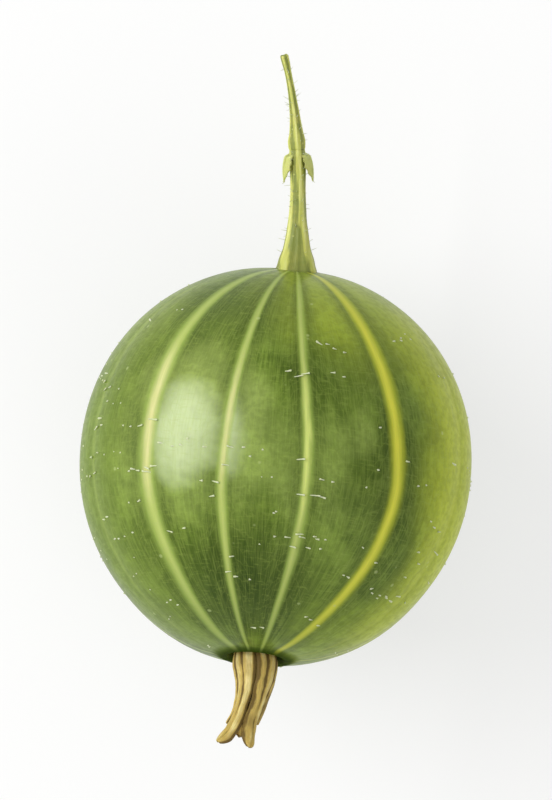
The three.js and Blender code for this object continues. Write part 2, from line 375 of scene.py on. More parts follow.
class Graph:
    """A few short ways to add nodes to a material, a world or a node group."""

    def __init__(self, tree: bpy.types.NodeTree) -> None:
        """Starts on a node tree.

        Args:
            tree: The tree that the nodes go into.
        """
        self.tree = tree

    def node(self, kind: str, **settings: object) -> bpy.types.Node:
        """A new node with its settings.

        Args:
            kind: The node's type.
            settings: Values for the node's own properties.

        Returns:
            The node.
        """
        made = self.tree.nodes.new(kind)
        for name, value in settings.items():
            setattr(made, name, value)
        return made

    def feed(self, socket: Socket, value: object) -> None:
        """Links a socket to another, or sets its value.

        Args:
            socket: The input.
            value: Another socket, or a plain value.
        """
        if isinstance(value, bpy.types.NodeSocket):
            self.tree.links.new(value, socket)
        elif isinstance(socket.default_value, float) or isinstance(value, (tuple, list, Vector)):
            socket.default_value = value
        else:
            socket.default_value = [value] * len(socket.default_value)

    def sum(self, operation: str, *values: object, clamp: bool = False) -> Socket:
        """One step of arithmetic.

        Args:
            operation: The Math node's operation.
            values: Its inputs, as sockets or numbers.
            clamp: Whether the result is kept between 0 and 1.

        Returns:
            The result.
        """
        made = self.node("ShaderNodeMath", operation=operation, use_clamp=clamp)
        for socket, value in zip(made.inputs, values):
            self.feed(socket, value)
        return made.outputs[0]

    def stretch(self, vector: Socket, scale: object) -> Socket:
        """A vector with each part multiplied.

        Args:
            vector: The vector.
            scale: Another vector, or three numbers.

        Returns:
            The product.
        """
        made = self.node("ShaderNodeVectorMath", operation="MULTIPLY")
        self.feed(made.inputs[0], vector)
        self.feed(made.inputs[1], scale)
        return made.outputs[0]

    def join(self, x: object, y: object, z: object = 0.0) -> Socket:
        """A vector from its three parts."""
        made = self.node("ShaderNodeCombineXYZ")
        for socket, value in zip(made.inputs, (x, y, z)):
            self.feed(socket, value)
        return made.outputs[0]

    def split(self, vector: Socket) -> tuple[Socket, Socket, Socket]:
        """A vector's three parts."""
        made = self.node("ShaderNodeSeparateXYZ")
        self.feed(made.inputs[0], vector)
        return made.outputs[0], made.outputs[1], made.outputs[2]

    def step(self, value: Socket, low: object, high: object, start: float = 0.0, end: float = 1.0) -> Socket:
        """A smooth step.

        Args:
            value: Where to read it.
            low: Where it starts.
            high: Where it ends.
            start: Its height below low.
            end: Its height above high.

        Returns:
            The step's height.
        """
        made = self.node("ShaderNodeMapRange", interpolation_type="SMOOTHSTEP")
        for socket, part in zip(made.inputs, (value, low, high, start, end)):
            self.feed(socket, part)
        return made.outputs[0]

    def mix(self, share: object, one: object, other: object, how: str = "MIX") -> Socket:
        """Two colours mixed.

        Args:
            share: How much of the other colour there is.
            one: The first colour.
            other: The other colour.
            how: The way they are mixed.

        Returns:
            The mixed colour.
        """
        made = self.node("ShaderNodeMix", data_type="RGBA", blend_type=how)
        self.feed(made.inputs[0], share)
        self.feed(made.inputs[6], one)
        self.feed(made.inputs[7], other)
        return made.outputs[2]

    def noise(self, vector: Socket, scale: object, detail: float = 3.0, rough: float = 0.5) -> Socket:
        """Cloudy noise.

        Args:
            vector: Where to read it.
            scale: How fine it is.
            detail: How many finer layers it has.
            rough: How strong those are.

        Returns:
            The noise, about 0.5 on average.
        """
        made = self.node("ShaderNodeTexNoise")
        self.feed(made.inputs["Vector"], vector)
        self.feed(made.inputs["Scale"], scale)
        made.inputs["Detail"].default_value = detail
        made.inputs["Roughness"].default_value = rough
        return made.outputs[0]

    def attribute(self, name: str) -> bpy.types.Node:
        """The node that reads one of the mesh's own values."""
        return self.node("ShaderNodeAttribute", attribute_name=name)

    def use(self, group: bpy.types.NodeTree, **inputs: object) -> bpy.types.Node:
        """Places a node group.

        Args:
            group: The group.
            inputs: Its inputs by name, with _ for each space.

        Returns:
            The group's node.
        """
        made = self.node("ShaderNodeGroup")
        made.node_tree = group
        for name, value in inputs.items():
            self.feed(made.inputs[name.replace("_", " ")], value)
        return made


class Effects:
    """The node groups that more than one finish uses."""

    def __init__(self) -> None:
        """Builds each group once."""
        self.fibres = self._fibres()
        self.clouds = self._clouds()
        self.flecks = self._flecks()
        self.relief_shading = self._relief_shading()

    @staticmethod
    def _start(name: str, inputs: dict[str, str], outputs: Sequence[str]) -> tuple[Graph, Socket, Socket]:
        """An empty group with its sockets.

        Args:
            name: The group's name.
            inputs: Each input's name and socket type.
            outputs: The names of the outputs, which are all values.

        Returns:
            The group's graph, its inputs and its outputs.
        """
        tree = bpy.data.node_groups.new(name, "ShaderNodeTree")
        for label, kind in inputs.items():
            tree.interface.new_socket(name=label, in_out="INPUT", socket_type=kind)
        for label in outputs:
            tree.interface.new_socket(name=label, in_out="OUTPUT", socket_type="NodeSocketFloat")
        graph = Graph(tree)
        entry = graph.node("NodeGroupInput")
        leave = graph.node("NodeGroupOutput")
        return graph, entry.outputs, leave.inputs

    def _fibres(self) -> bpy.types.NodeTree:
        """Long streaks along the grain, of two finenesses."""
        graph, entry, leave = self._start(
            "Fibres",
            {"Grain": "NodeSocketVector", "Fineness": "NodeSocketFloat", "Length": "NodeSocketFloat"},
            ["Streaks", "Threads"],
        )
        slow = graph.sum("DIVIDE", entry["Fineness"], entry["Length"])
        scale = graph.join(entry["Fineness"], entry["Fineness"], slow)
        grain = graph.stretch(entry["Grain"], scale)
        streaks = graph.noise(grain, 1.0, detail=4.0, rough=0.62)
        threads = graph.noise(graph.stretch(grain, (2.9, 2.9, 1.7)), 1.0, detail=2.0)
        graph.feed(leave["Streaks"], graph.step(streaks, 0.3, 0.7))
        graph.feed(leave["Threads"], graph.step(threads, 0.44, 0.62))
        return graph.tree

    def _clouds(self) -> bpy.types.NodeTree:
        """Soft patches."""
        graph, entry, leave = self._start(
            "Clouds",
            {
                "Place": "NodeSocketVector",
                "Fineness": "NodeSocketFloat",
                "Low": "NodeSocketFloat",
                "High": "NodeSocketFloat",
            },
            ["Patches"],
        )
        cloud = graph.noise(entry["Place"], entry["Fineness"], detail=5.0, rough=0.58)
        graph.feed(leave["Patches"], graph.step(cloud, entry["Low"], entry["High"]))
        return graph.tree

    def _flecks(self) -> bpy.types.NodeTree:
        """Scattered small dots, of which some cells have none."""
        graph, entry, leave = self._start(
            "Flecks",
            {
                "Place": "NodeSocketVector",
                "Fineness": "NodeSocketFloat",
                "Radius": "NodeSocketFloat",
                "Share": "NodeSocketFloat",
            },
            ["Dots"],
        )
        cells = graph.node("ShaderNodeTexVoronoi", feature="F1")
        graph.feed(cells.inputs["Vector"], entry["Place"])
        graph.feed(cells.inputs["Scale"], entry["Fineness"])
        inner = graph.sum("MULTIPLY", entry["Radius"], 0.45)
        dot = graph.step(cells.outputs["Distance"], inner, entry["Radius"], 1.0, 0.0)
        lot = graph.split(cells.outputs["Color"])[0]
        kept = graph.sum("LESS_THAN", lot, entry["Share"])
        graph.feed(leave["Dots"], graph.sum("MULTIPLY", dot, kept))
        return graph.tree

    def _relief_shading(self) -> bpy.types.NodeTree:
        """How far a dry or drying surface is sunk, from its folds and its fibres: the masks for painted shade
        in its folds and painted light on its ridges.
        """
        graph, entry, leave = self._start(
            "ReliefShading",
            {"Relief": "NodeSocketFloat", "Streaks": "NodeSocketFloat", "Patches": "NodeSocketFloat"},
            ["Sunk", "Proud"],
        )
        height = graph.sum("MULTIPLY_ADD", entry["Streaks"], 0.2, graph.sum("MULTIPLY", entry["Relief"], 0.8))
        height = graph.sum("MULTIPLY_ADD", graph.sum("SUBTRACT", entry["Patches"], 0.5), 0.14, height)
        graph.feed(leave["Sunk"], graph.step(height, 0.22, 0.5, 1.0, 0.0))
        graph.feed(leave["Proud"], graph.step(height, 0.55, 0.85))
        return graph.tree


def new_material(name: str) -> tuple[bpy.types.Material, Graph, bpy.types.Node]:
    """An empty material.

    Args:
        name: The material's name.

    Returns:
        The material, its graph and its Principled shader.
    """
    material = bpy.data.materials.new(name)
    material.use_nodes = True
    graph = Graph(material.node_tree)
    shader = next(node for node in material.node_tree.nodes if node.type == "BSDF_PRINCIPLED")
    return material, graph, shader


def raise_bump(graph: Graph, shader: bpy.types.Node, height: Socket, depth: float) -> None:
    """Gives a shader the small relief of a height.

    Args:
        graph: The material's graph.
        shader: Its Principled shader.
        height: The height, from 0 to 1.
        depth: What a height of 1 measures, in millimetres.
    """
    bump = graph.node("ShaderNodeBump")
    bump.inputs["Strength"].default_value = 1.0
    bump.inputs["Distance"].default_value = depth * MM
    graph.feed(bump.inputs["Height"], height)
    graph.feed(shader.inputs["Normal"], bump.outputs[0])


# ---- Finishes --------------------------------------------------------------------------------------


@dataclass(frozen=True)
class TintAndShadingPatch:
    """A soft patch of colour on one side of the fruit: some such patches are painted light and painted shade,
    others the skin's own tint.
    """

    way: tuple[float, float, float]  # the direction that this side faces
    full: float  # degrees from that direction within which the colour is strongest
    none: float  # degrees from it beyond which there is no more of it
    colour: Colour
    share: float

    def lay(self, graph: Graph, normal: Socket, wander: Socket, body: Socket) -> Socket:
        """Lays the patch over a colour.

        Args:
            graph: The material's graph.
            normal: The direction that the skin faces.
            wander: A small unevenness, which frays the patch's edge.
            body: The colour under it.

        Returns:
            The colour with the patch.
        """
        facing = graph.node("ShaderNodeVectorMath", operation="DOT_PRODUCT")
        graph.feed(facing.inputs[0], normal)
        facing.inputs[1].default_value = Vector(self.way).normalized()
        frayed = graph.sum("ADD", facing.outputs["Value"], wander)
        low, high = math.cos(math.radians(self.none)), math.cos(math.radians(self.full))
        return graph.mix(graph.step(frayed, low, high, 0.0, self.share), body, self.colour)


@dataclass(frozen=True)
class SkinFinish:
    """The fruit's smooth, faintly waxy skin, through which its flesh and its veins show."""

    shade: Colour = srgb(58, 76, 16)
    deep: Colour = srgb(80, 102, 28)
    flesh: Colour = srgb(120, 144, 54)
    bright: Colour = srgb(156, 176, 84)
    band: Colour = srgb(150, 172, 80)  # of a vein, at its sides
    vein: Colour = srgb(192, 204, 116)
    band_yellow: Colour = srgb(174, 182, 50)
    vein_yellow: Colour = srgb(228, 226, 80)
    fleck: Colour = srgb(190, 204, 136)
    # painted shade where the skin sinks round the flower and the stalk
    recess_shade: Colour = srgb(44, 60, 12)
    half_width: float = 0.07  # of a vein, as a share of the gap between two
    vein_highlights: tuple[TintAndShadingPatch, ...] = (  # painted highlights, where the veins are paler
        TintAndShadingPatch((-0.48, 0.2, 0.85), 7, 30, srgb(234, 226, 166), 0.88),
        TintAndShadingPatch((0.19, 0.14, 0.97), 8, 30, srgb(228, 238, 136), 0.9),
    )
    painted_highlight: TintAndShadingPatch = TintAndShadingPatch((-0.44, 0.14, 0.88), 1, 20, srgb(206, 220, 170), 0.8)  # a painted highlight, pale and soft
    tints_light_and_shade: tuple[TintAndShadingPatch, ...] = (  # painted light, painted shade, and a yellow side that is partly its own tint and partly painted glow
        TintAndShadingPatch((-0.98, -0.05, 0.12), 10, 38, srgb(118, 140, 48), 0.7),
        TintAndShadingPatch((-0.7, 0.68, 0.26), 8, 32, srgb(138, 156, 62), 0.5),
        TintAndShadingPatch((-0.62, -0.74, 0.28), 10, 36, srgb(116, 138, 46), 0.6),
        TintAndShadingPatch((-0.76, 0.3, 0.56), 5, 24, srgb(100, 120, 36), 0.6),
        TintAndShadingPatch((0.3, 0.85, 0.44), 10, 36, srgb(166, 182, 54), 0.8),
        TintAndShadingPatch((-0.24, 0.8, 0.55), 7, 27, srgb(70, 86, 26), 0.65),
        TintAndShadingPatch((0.8, 0.56, 0.2), 12, 34, srgb(186, 198, 40), 0.8),
        TintAndShadingPatch((0.12, 0.1, 0.99), 6, 22, srgb(144, 164, 82), 0.5),
        TintAndShadingPatch((-0.2, 0.3, 0.93), 4, 18, srgb(166, 184, 100), 0.55),
        TintAndShadingPatch((0.38, 0.18, 0.91), 3, 15, srgb(166, 184, 100), 0.6),
        TintAndShadingPatch((0.24, -0.1, 0.97), 3, 16, srgb(142, 162, 80), 0.4),
        TintAndShadingPatch((0.22, 0.5, 0.84), 5, 22, srgb(62, 80, 18), 0.6),
        TintAndShadingPatch((-0.08, -0.62, 0.78), 8, 26, srgb(32, 52, 8), 0.75),
        TintAndShadingPatch((0.4, -0.82, 0.4), 8, 26, srgb(150, 172, 20), 0.4),
        TintAndShadingPatch((0.58, -0.04, 0.82), 5, 22, srgb(58, 76, 16), 0.5),
        TintAndShadingPatch((-0.44, 0.44, 0.78), 5, 20, srgb(168, 184, 100), 0.45),
        TintAndShadingPatch((-0.43, 0.12, 0.89), 4, 34, srgb(178, 196, 112), 0.3),
        TintAndShadingPatch((0.8, -0.6, 0.06), 16, 40, srgb(182, 196, 26), 0.85),
        TintAndShadingPatch((0.99, 0.0, 0.1), 12, 48, srgb(190, 202, 46), 0.88),
        TintAndShadingPatch((0.82, 0.1, -0.56), 6, 46, srgb(132, 158, 60), 0.85),
    )

    def build(self, effects: Effects) -> bpy.types.Material:
        """Makes the material.

        Args:
            effects: The shared node groups.

        Returns:
            The skin's material.
        """
        material, graph, shader = new_material("gooseberry_skin")
        surface = graph.node("ShaderNodeUVMap", uv_map="Surface").outputs[0]
        coordinates = graph.node("ShaderNodeTexCoord").outputs
        place, normal = coordinates["Object"], coordinates["Normal"]
        grain = graph.attribute("grain").outputs["Vector"]
        around, down, _ = graph.split(surface)
        swell = graph.sum("MAXIMUM", graph.sum("SINE", graph.sum("MULTIPLY", down, math.pi)), 0.03)
        far = graph.step(swell, 0.08, 0.26)

        fibres = graph.use(effects.fibres, Grain=grain, Fineness=3.4, Length=9.0)
        streaks, threads = fibres.outputs[0], fibres.outputs[1]
        patches = graph.use(effects.clouds, Place=place, Fineness=300.0, Low=0.34, High=0.68).outputs[0]
        haze = graph.use(effects.clouds, Place=place, Fineness=75.0, Low=0.36, High=0.7).outputs[0]
        stipple = graph.use(effects.clouds, Place=place, Fineness=2300.0, Low=0.4, High=0.62).outputs[0]
        across = graph.join(graph.sum("MULTIPLY", around, 6.0), graph.sum("MULTIPLY", down, 230.0))
        dashes = graph.noise(across, 1.0)
        dashes = graph.sum("MULTIPLY", graph.step(dashes, 0.54, 0.68), far)

        veins = self._veins(graph, around, down, swell, grain, streaks)
        core, band, vein_side_shade, yellow, net = veins

        depth = graph.sum("MULTIPLY_ADD", streaks, 0.4, graph.sum("MULTIPLY", patches, 0.6))
        body = graph.mix(graph.step(depth, 0.15, 0.85), self.deep, self.flesh)
        body = graph.mix(graph.sum("MULTIPLY", haze, 0.16), body, self.bright)
        body = graph.mix(graph.step(down, 0.04, 0.2, 0.25, 0.0), body, self.bright)
        fray = graph.sum("MULTIPLY_ADD", haze, 0.05, -0.025)
        # patches of painted light, painted shade and yellow
        for blush in self.tints_light_and_shade:
            body = blush.lay(graph, normal, fray, body)
        body = graph.mix(graph.sum("MULTIPLY", stipple, 0.2), body, self.shade)
        # painted shade beside each vein
        body = graph.mix(graph.sum("MULTIPLY", vein_side_shade, 0.5), body, self.shade)
        # the painted highlight, laid between two veins over the rest
        painted_highlight = self.painted_highlight.lay(graph, normal, fray, body)
        body = graph.mix(self._between(graph, around, 1, 2), body, painted_highlight)
        body = graph.mix(graph.sum("MULTIPLY", threads, 0.14), body, self.bright)
        body = graph.mix(graph.sum("MULTIPLY", dashes, 0.16), body, self.bright)
        body = graph.mix(graph.sum("MULTIPLY", net, 0.13), body, self.bright)

        sides = graph.mix(yellow, self.band, self.band_yellow)
        line = self.vein
        # the veins' line is paler under the painted highlights
        for vein_highlight in self.vein_highlights:
            line = vein_highlight.lay(graph, normal, fray, line)
        line = graph.mix(yellow, line, self.vein_yellow)
        line = graph.mix(graph.sum("MULTIPLY", threads, 0.15), line, self.bright)
        body = graph.mix(graph.sum("MULTIPLY", band, 0.8), body, sides)
        body = graph.mix(graph.sum("MULTIPLY", core, 0.88), body, line)

        flecks = graph.use(effects.flecks, Place=place, Fineness=900.0, Radius=0.15, Share=0.2).outputs[0]
        body = graph.mix(graph.sum("MULTIPLY", flecks, 0.4), body, self.fleck)
        # painted shade: darker, less glossy skin where it sinks round the withered flower and under the
        # stalk's foot
        recess_shade = graph.sum("ADD", graph.step(down, 0.924, 0.945), graph.step(down, 0.03, 0.042, 1.0, 0.0))
        body = graph.mix(graph.sum("MULTIPLY", recess_shade, 0.9), body, self.recess_shade)
        graph.feed(shader.inputs["Base Color"], body)

        graph.feed(shader.inputs["Specular IOR Level"], graph.sum("MULTIPLY_ADD", recess_shade, -0.1, 0.1))
        rough = graph.sum("MULTIPLY_ADD", haze, 0.08, 0.3)
        rough = graph.sum("MULTIPLY_ADD", recess_shade, 0.4, rough)
        graph.feed(shader.inputs["Roughness"], graph.sum("MULTIPLY_ADD", stipple, 0.06, rough))
        height = graph.sum("MULTIPLY_ADD", stipple, -0.12, graph.sum("MULTIPLY", core, 0.5))
        height = graph.sum("MULTIPLY_ADD", patches, 0.2, height)
        height = graph.sum("MULTIPLY_ADD", flecks, 0.3, height)
        raise_bump(graph, shader, height, 0.035)
        shader.inputs["Subsurface Weight"].default_value = 0.2
        shader.inputs["Subsurface Radius"].default_value = (0.9, 1.4, 0.3)
        shader.inputs["Subsurface Scale"].default_value = 0.5 * MM
        shader.inputs["Coat Weight"].default_value = 0.03
        shader.inputs["Coat Roughness"].default_value = 0.2
        return material

    @staticmethod
    def _between(graph: Graph, around: Socket, first: int, last: int) -> Socket:
        """Where the skin lies between two veins, and a little beyond the second.

        Args:
            graph: The material's graph.
            around: The place round the fruit, counted in ribs.
            first: The first vein's number.
            last: The second's.

        Returns:
            The share, from 0 to 1.
        """
        after = graph.step(around, first - 0.02, first + 0.12)
        before = graph.step(around, last, last + 0.45, 1.0, 0.0)
        return graph.sum("MULTIPLY", after, before)

    def _veins(
        self, graph: Graph, around: Socket, down: Socket, swell: Socket, grain: Socket, streaks: Socket
    ) -> tuple[Socket, Socket, Socket, Socket, Socket]:
        """Where the long veins and the fine net between them show.

        Args:
            graph: The material's graph.
            around: The place round the fruit, counted in ribs.
            down: How far down the fruit, from 0 to 1.
            swell: The fruit's girth there, as a share of its greatest.
            grain: The mesh's grain.
            streaks: Fine streaks, which fray a vein's edges.

        Returns:
            A vein's bright line, the soft band under it, the painted shade beside it, how yellow it is,
            and the net, each from 0 to 1.
        """
        width, show, yellow = graph.split(graph.attribute("vein").outputs["Vector"])
        wander = graph.sum("SUBTRACT", graph.noise(graph.stretch(grain, (0.25, 0.25, 0.22)), 1.0), 0.5)
        placed = graph.sum("MULTIPLY_ADD", wander, 0.05, around)
        nearest = graph.sum("ROUND", placed)
        aside = graph.sum("SUBTRACT", placed, nearest)
        off = graph.sum("ABSOLUTE", aside)
        half = graph.sum("MULTIPLY", width, self.half_width)
        half = graph.sum("MULTIPLY", half, graph.sum("POWER", swell, -0.3))
        ragged = graph.sum("MULTIPLY_ADD", graph.sum("SUBTRACT", streaks, 0.5), 0.016, off)
        core = graph.step(ragged, 0.0, graph.sum("MULTIPLY", half, 0.95), 1.0, 0.0)
        band_low, band_high, beside_low, beside_high = (
            graph.sum("MULTIPLY", half, share) for share in (0.45, 1.5, 1.2, 4.2)
        )
        band = graph.step(ragged, band_low, band_high, 1.0, 0.0)
        beside = graph.step(off, beside_low, beside_high, 1.0, 0.0)
        vein_side_shade = graph.sum("SUBTRACT", beside, band, clamp=True)
        net = self._veinlets(graph, aside, off, nearest, down, grain)
        net = graph.sum("MULTIPLY", graph.sum("MULTIPLY", net, graph.step(swell, 0.06, 0.3)), show)
        net = graph.sum("MULTIPLY", net, graph.sum("SUBTRACT", 1.0, band))
        core = graph.sum("MULTIPLY", core, graph.step(swell, 0.25, 0.98, 0.35, 1.0))
        core, band, vein_side_shade = (graph.sum("MULTIPLY", part, show) for part in (core, band, vein_side_shade))
        return core, band, vein_side_shade, yellow, net

    @staticmethod
    def _veinlets(
        graph: Graph, aside: Socket, off: Socket, nearest: Socket, down: Socket, grain: Socket
    ) -> Socket:
        """The fine net that branches off each vein and fades before the next.

        Args:
            graph: The material's graph.
            aside: The signed share of a gap from the nearest vein.
            off: The same without its sign.
            nearest: That vein's number.
            down: How far down the fruit, from 0 to 1.
            grain: The mesh's grain.

        Returns:
            The net, from 0 to 1.
        """
        sway = graph.sum("SUBTRACT", graph.noise(grain, 0.8, detail=2.0), 0.5)
        slant = graph.sum("MULTIPLY_ADD", off, -0.16, down)
        slant = graph.sum("MULTIPLY_ADD", sway, 0.03, slant)
        side = graph.sum("MULTIPLY_ADD", graph.sum("SIGN", aside), 3.7, graph.sum("MULTIPLY", nearest, 11.3))
        wide = graph.sum("MULTIPLY_ADD", sway, 0.05, off)
        where = graph.join(graph.sum("MULTIPLY", wide, 7.0), graph.sum("MULTIPLY", slant, 40.0), side)
        cells = graph.node("ShaderNodeTexVoronoi", feature="DISTANCE_TO_EDGE")
        graph.feed(cells.inputs["Vector"], where)
        cells.inputs["Scale"].default_value = 1.0
        line = graph.step(cells.outputs["Distance"], 0.01, 0.085, 1.0, 0.0)
        return graph.sum("MULTIPLY", line, graph.step(off, 0.3, 0.48, 1.0, 0.15))


@dataclass(frozen=True)
class GreenFinish:
    """Fresh green stalk or scale, with fibres along it, painted light on its ridges and painted shade in its
    hollows.
    """

    name: str
    hollow: Colour
    body: Colour
    ridge: Colour
    blush: Colour
    blush_share: float = 0.3
    fineness: float = 6.0
    rough: float = 0.45
    depth: float = 0.03

    def build(self, effects: Effects) -> bpy.types.Material:
        """Makes the material.

        Args:
            effects: The shared node groups.

        Returns:
            The material.
        """
        material, graph, shader = new_material(self.name)
        grain = graph.attribute("grain").outputs["Vector"]
        relief = graph.attribute("relief").outputs["Fac"]
        place = graph.node("ShaderNodeTexCoord").outputs["Object"]
        fibres = graph.use(effects.fibres, Grain=grain, Fineness=self.fineness, Length=7.0)
        patches = graph.use(effects.clouds, Place=place, Fineness=900.0, Low=0.35, High=0.7).outputs[0]
        flecks = graph.use(effects.flecks, Place=place, Fineness=2600.0, Radius=0.2, Share=0.25).outputs[0]
        folds = graph.use(effects.relief_shading, Relief=relief, Streaks=fibres.outputs[0], Patches=patches)
        # painted shade in the hollows and painted light on the ridges, from the relief
        colour = graph.mix(folds.outputs["Sunk"], self.body, self.hollow)
        colour = graph.mix(folds.outputs["Proud"], colour, self.ridge)
        colour = graph.mix(graph.sum("MULTIPLY", patches, self.blush_share), colour, self.blush)
        colour = graph.mix(graph.sum("MULTIPLY", flecks, 0.5), colour, self.ridge)
        graph.feed(shader.inputs["Base Color"], colour)
        graph.feed(shader.inputs["Roughness"], graph.sum("MULTIPLY_ADD", patches, 0.15, self.rough))
        height = graph.sum("MULTIPLY_ADD", fibres.outputs[0], 0.6, graph.sum("MULTIPLY", flecks, 0.4))
        raise_bump(graph, shader, height, self.depth)
        shader.inputs["Subsurface Weight"].default_value = 0.2
        shader.inputs["Subsurface Radius"].default_value = (0.5, 0.7, 0.2)
        shader.inputs["Subsurface Scale"].default_value = 0.5 * MM
        return material


@dataclass(frozen=True)
class DryFinish:
    """Withered, papery flower: golden, paler on its ridges and nearly black in its folds, partly its own
    browner colour there and partly painted light and shade.
    """

    name: str
    fold: Colour
    body: Colour
    ridge: Colour
    stain: Colour
    fineness: float = 5.0
    rough: float = 0.62
    depth: float = 0.04

    def build(self, effects: Effects) -> bpy.types.Material:
        """Makes the material.

        Args:
            effects: The shared node groups.

        Returns:
            The material.
        """
        material, graph, shader = new_material(self.name)
        grain = graph.attribute("grain").outputs["Vector"]
        relief = graph.attribute("relief").outputs["Fac"]
        place = graph.node("ShaderNodeTexCoord").outputs["Object"]
        fibres = graph.use(effects.fibres, Grain=grain, Fineness=self.fineness, Length=6.0)
        patches = graph.use(effects.clouds, Place=place, Fineness=1100.0, Low=0.34, High=0.66).outputs[0]
        stains = graph.use(effects.clouds, Place=place, Fineness=520.0, Low=0.5, High=0.72).outputs[0]
        folds = graph.use(effects.relief_shading, Relief=relief, Streaks=fibres.outputs[0], Patches=patches)
        # painted light on the ridges, from the relief
        colour = graph.mix(folds.outputs["Proud"], self.body, self.ridge)
        colour = graph.mix(graph.sum("MULTIPLY", stains, 0.5), colour, self.stain)
        colour = graph.mix(graph.sum("MULTIPLY", fibres.outputs[1], 0.25), colour, self.stain)
        # painted shade in the folds, over the flower's own darker brown there
        colour = graph.mix(folds.outputs["Sunk"], colour, self.fold)
        graph.feed(shader.inputs["Base Color"], colour)
        graph.feed(shader.inputs["Roughness"], graph.sum("MULTIPLY_ADD", fibres.outputs[0], 0.2, self.rough))
        height = graph.sum("MULTIPLY_ADD", fibres.outputs[0], 0.7, graph.sum("MULTIPLY", patches, 0.3))
        raise_bump(graph, shader, height, self.depth)
        shader.inputs["Subsurface Weight"].default_value = 0.12
        shader.inputs["Subsurface Radius"].default_value = (0.6, 0.35, 0.12)
        shader.inputs["Subsurface Scale"].default_value = 0.4 * MM
        return material


# ---- The fruit -------------------------------------------------------------------------------------


@dataclass(frozen=True)
class Vein:
    """One of the long pale veins that run from the stalk to the flower."""

    gap: float  # round to the next vein, in degrees
    width: float = 1.0  # as a share of the usual width
    show: float = 1.0  # how clearly it shows through the skin
    yellow: float = 0.0  # how far it has turned yellow
    stalk_turn: float = 0.0  # degrees that its stalk end turns aside
    flower_turn: float = 0.0  # and its flower end


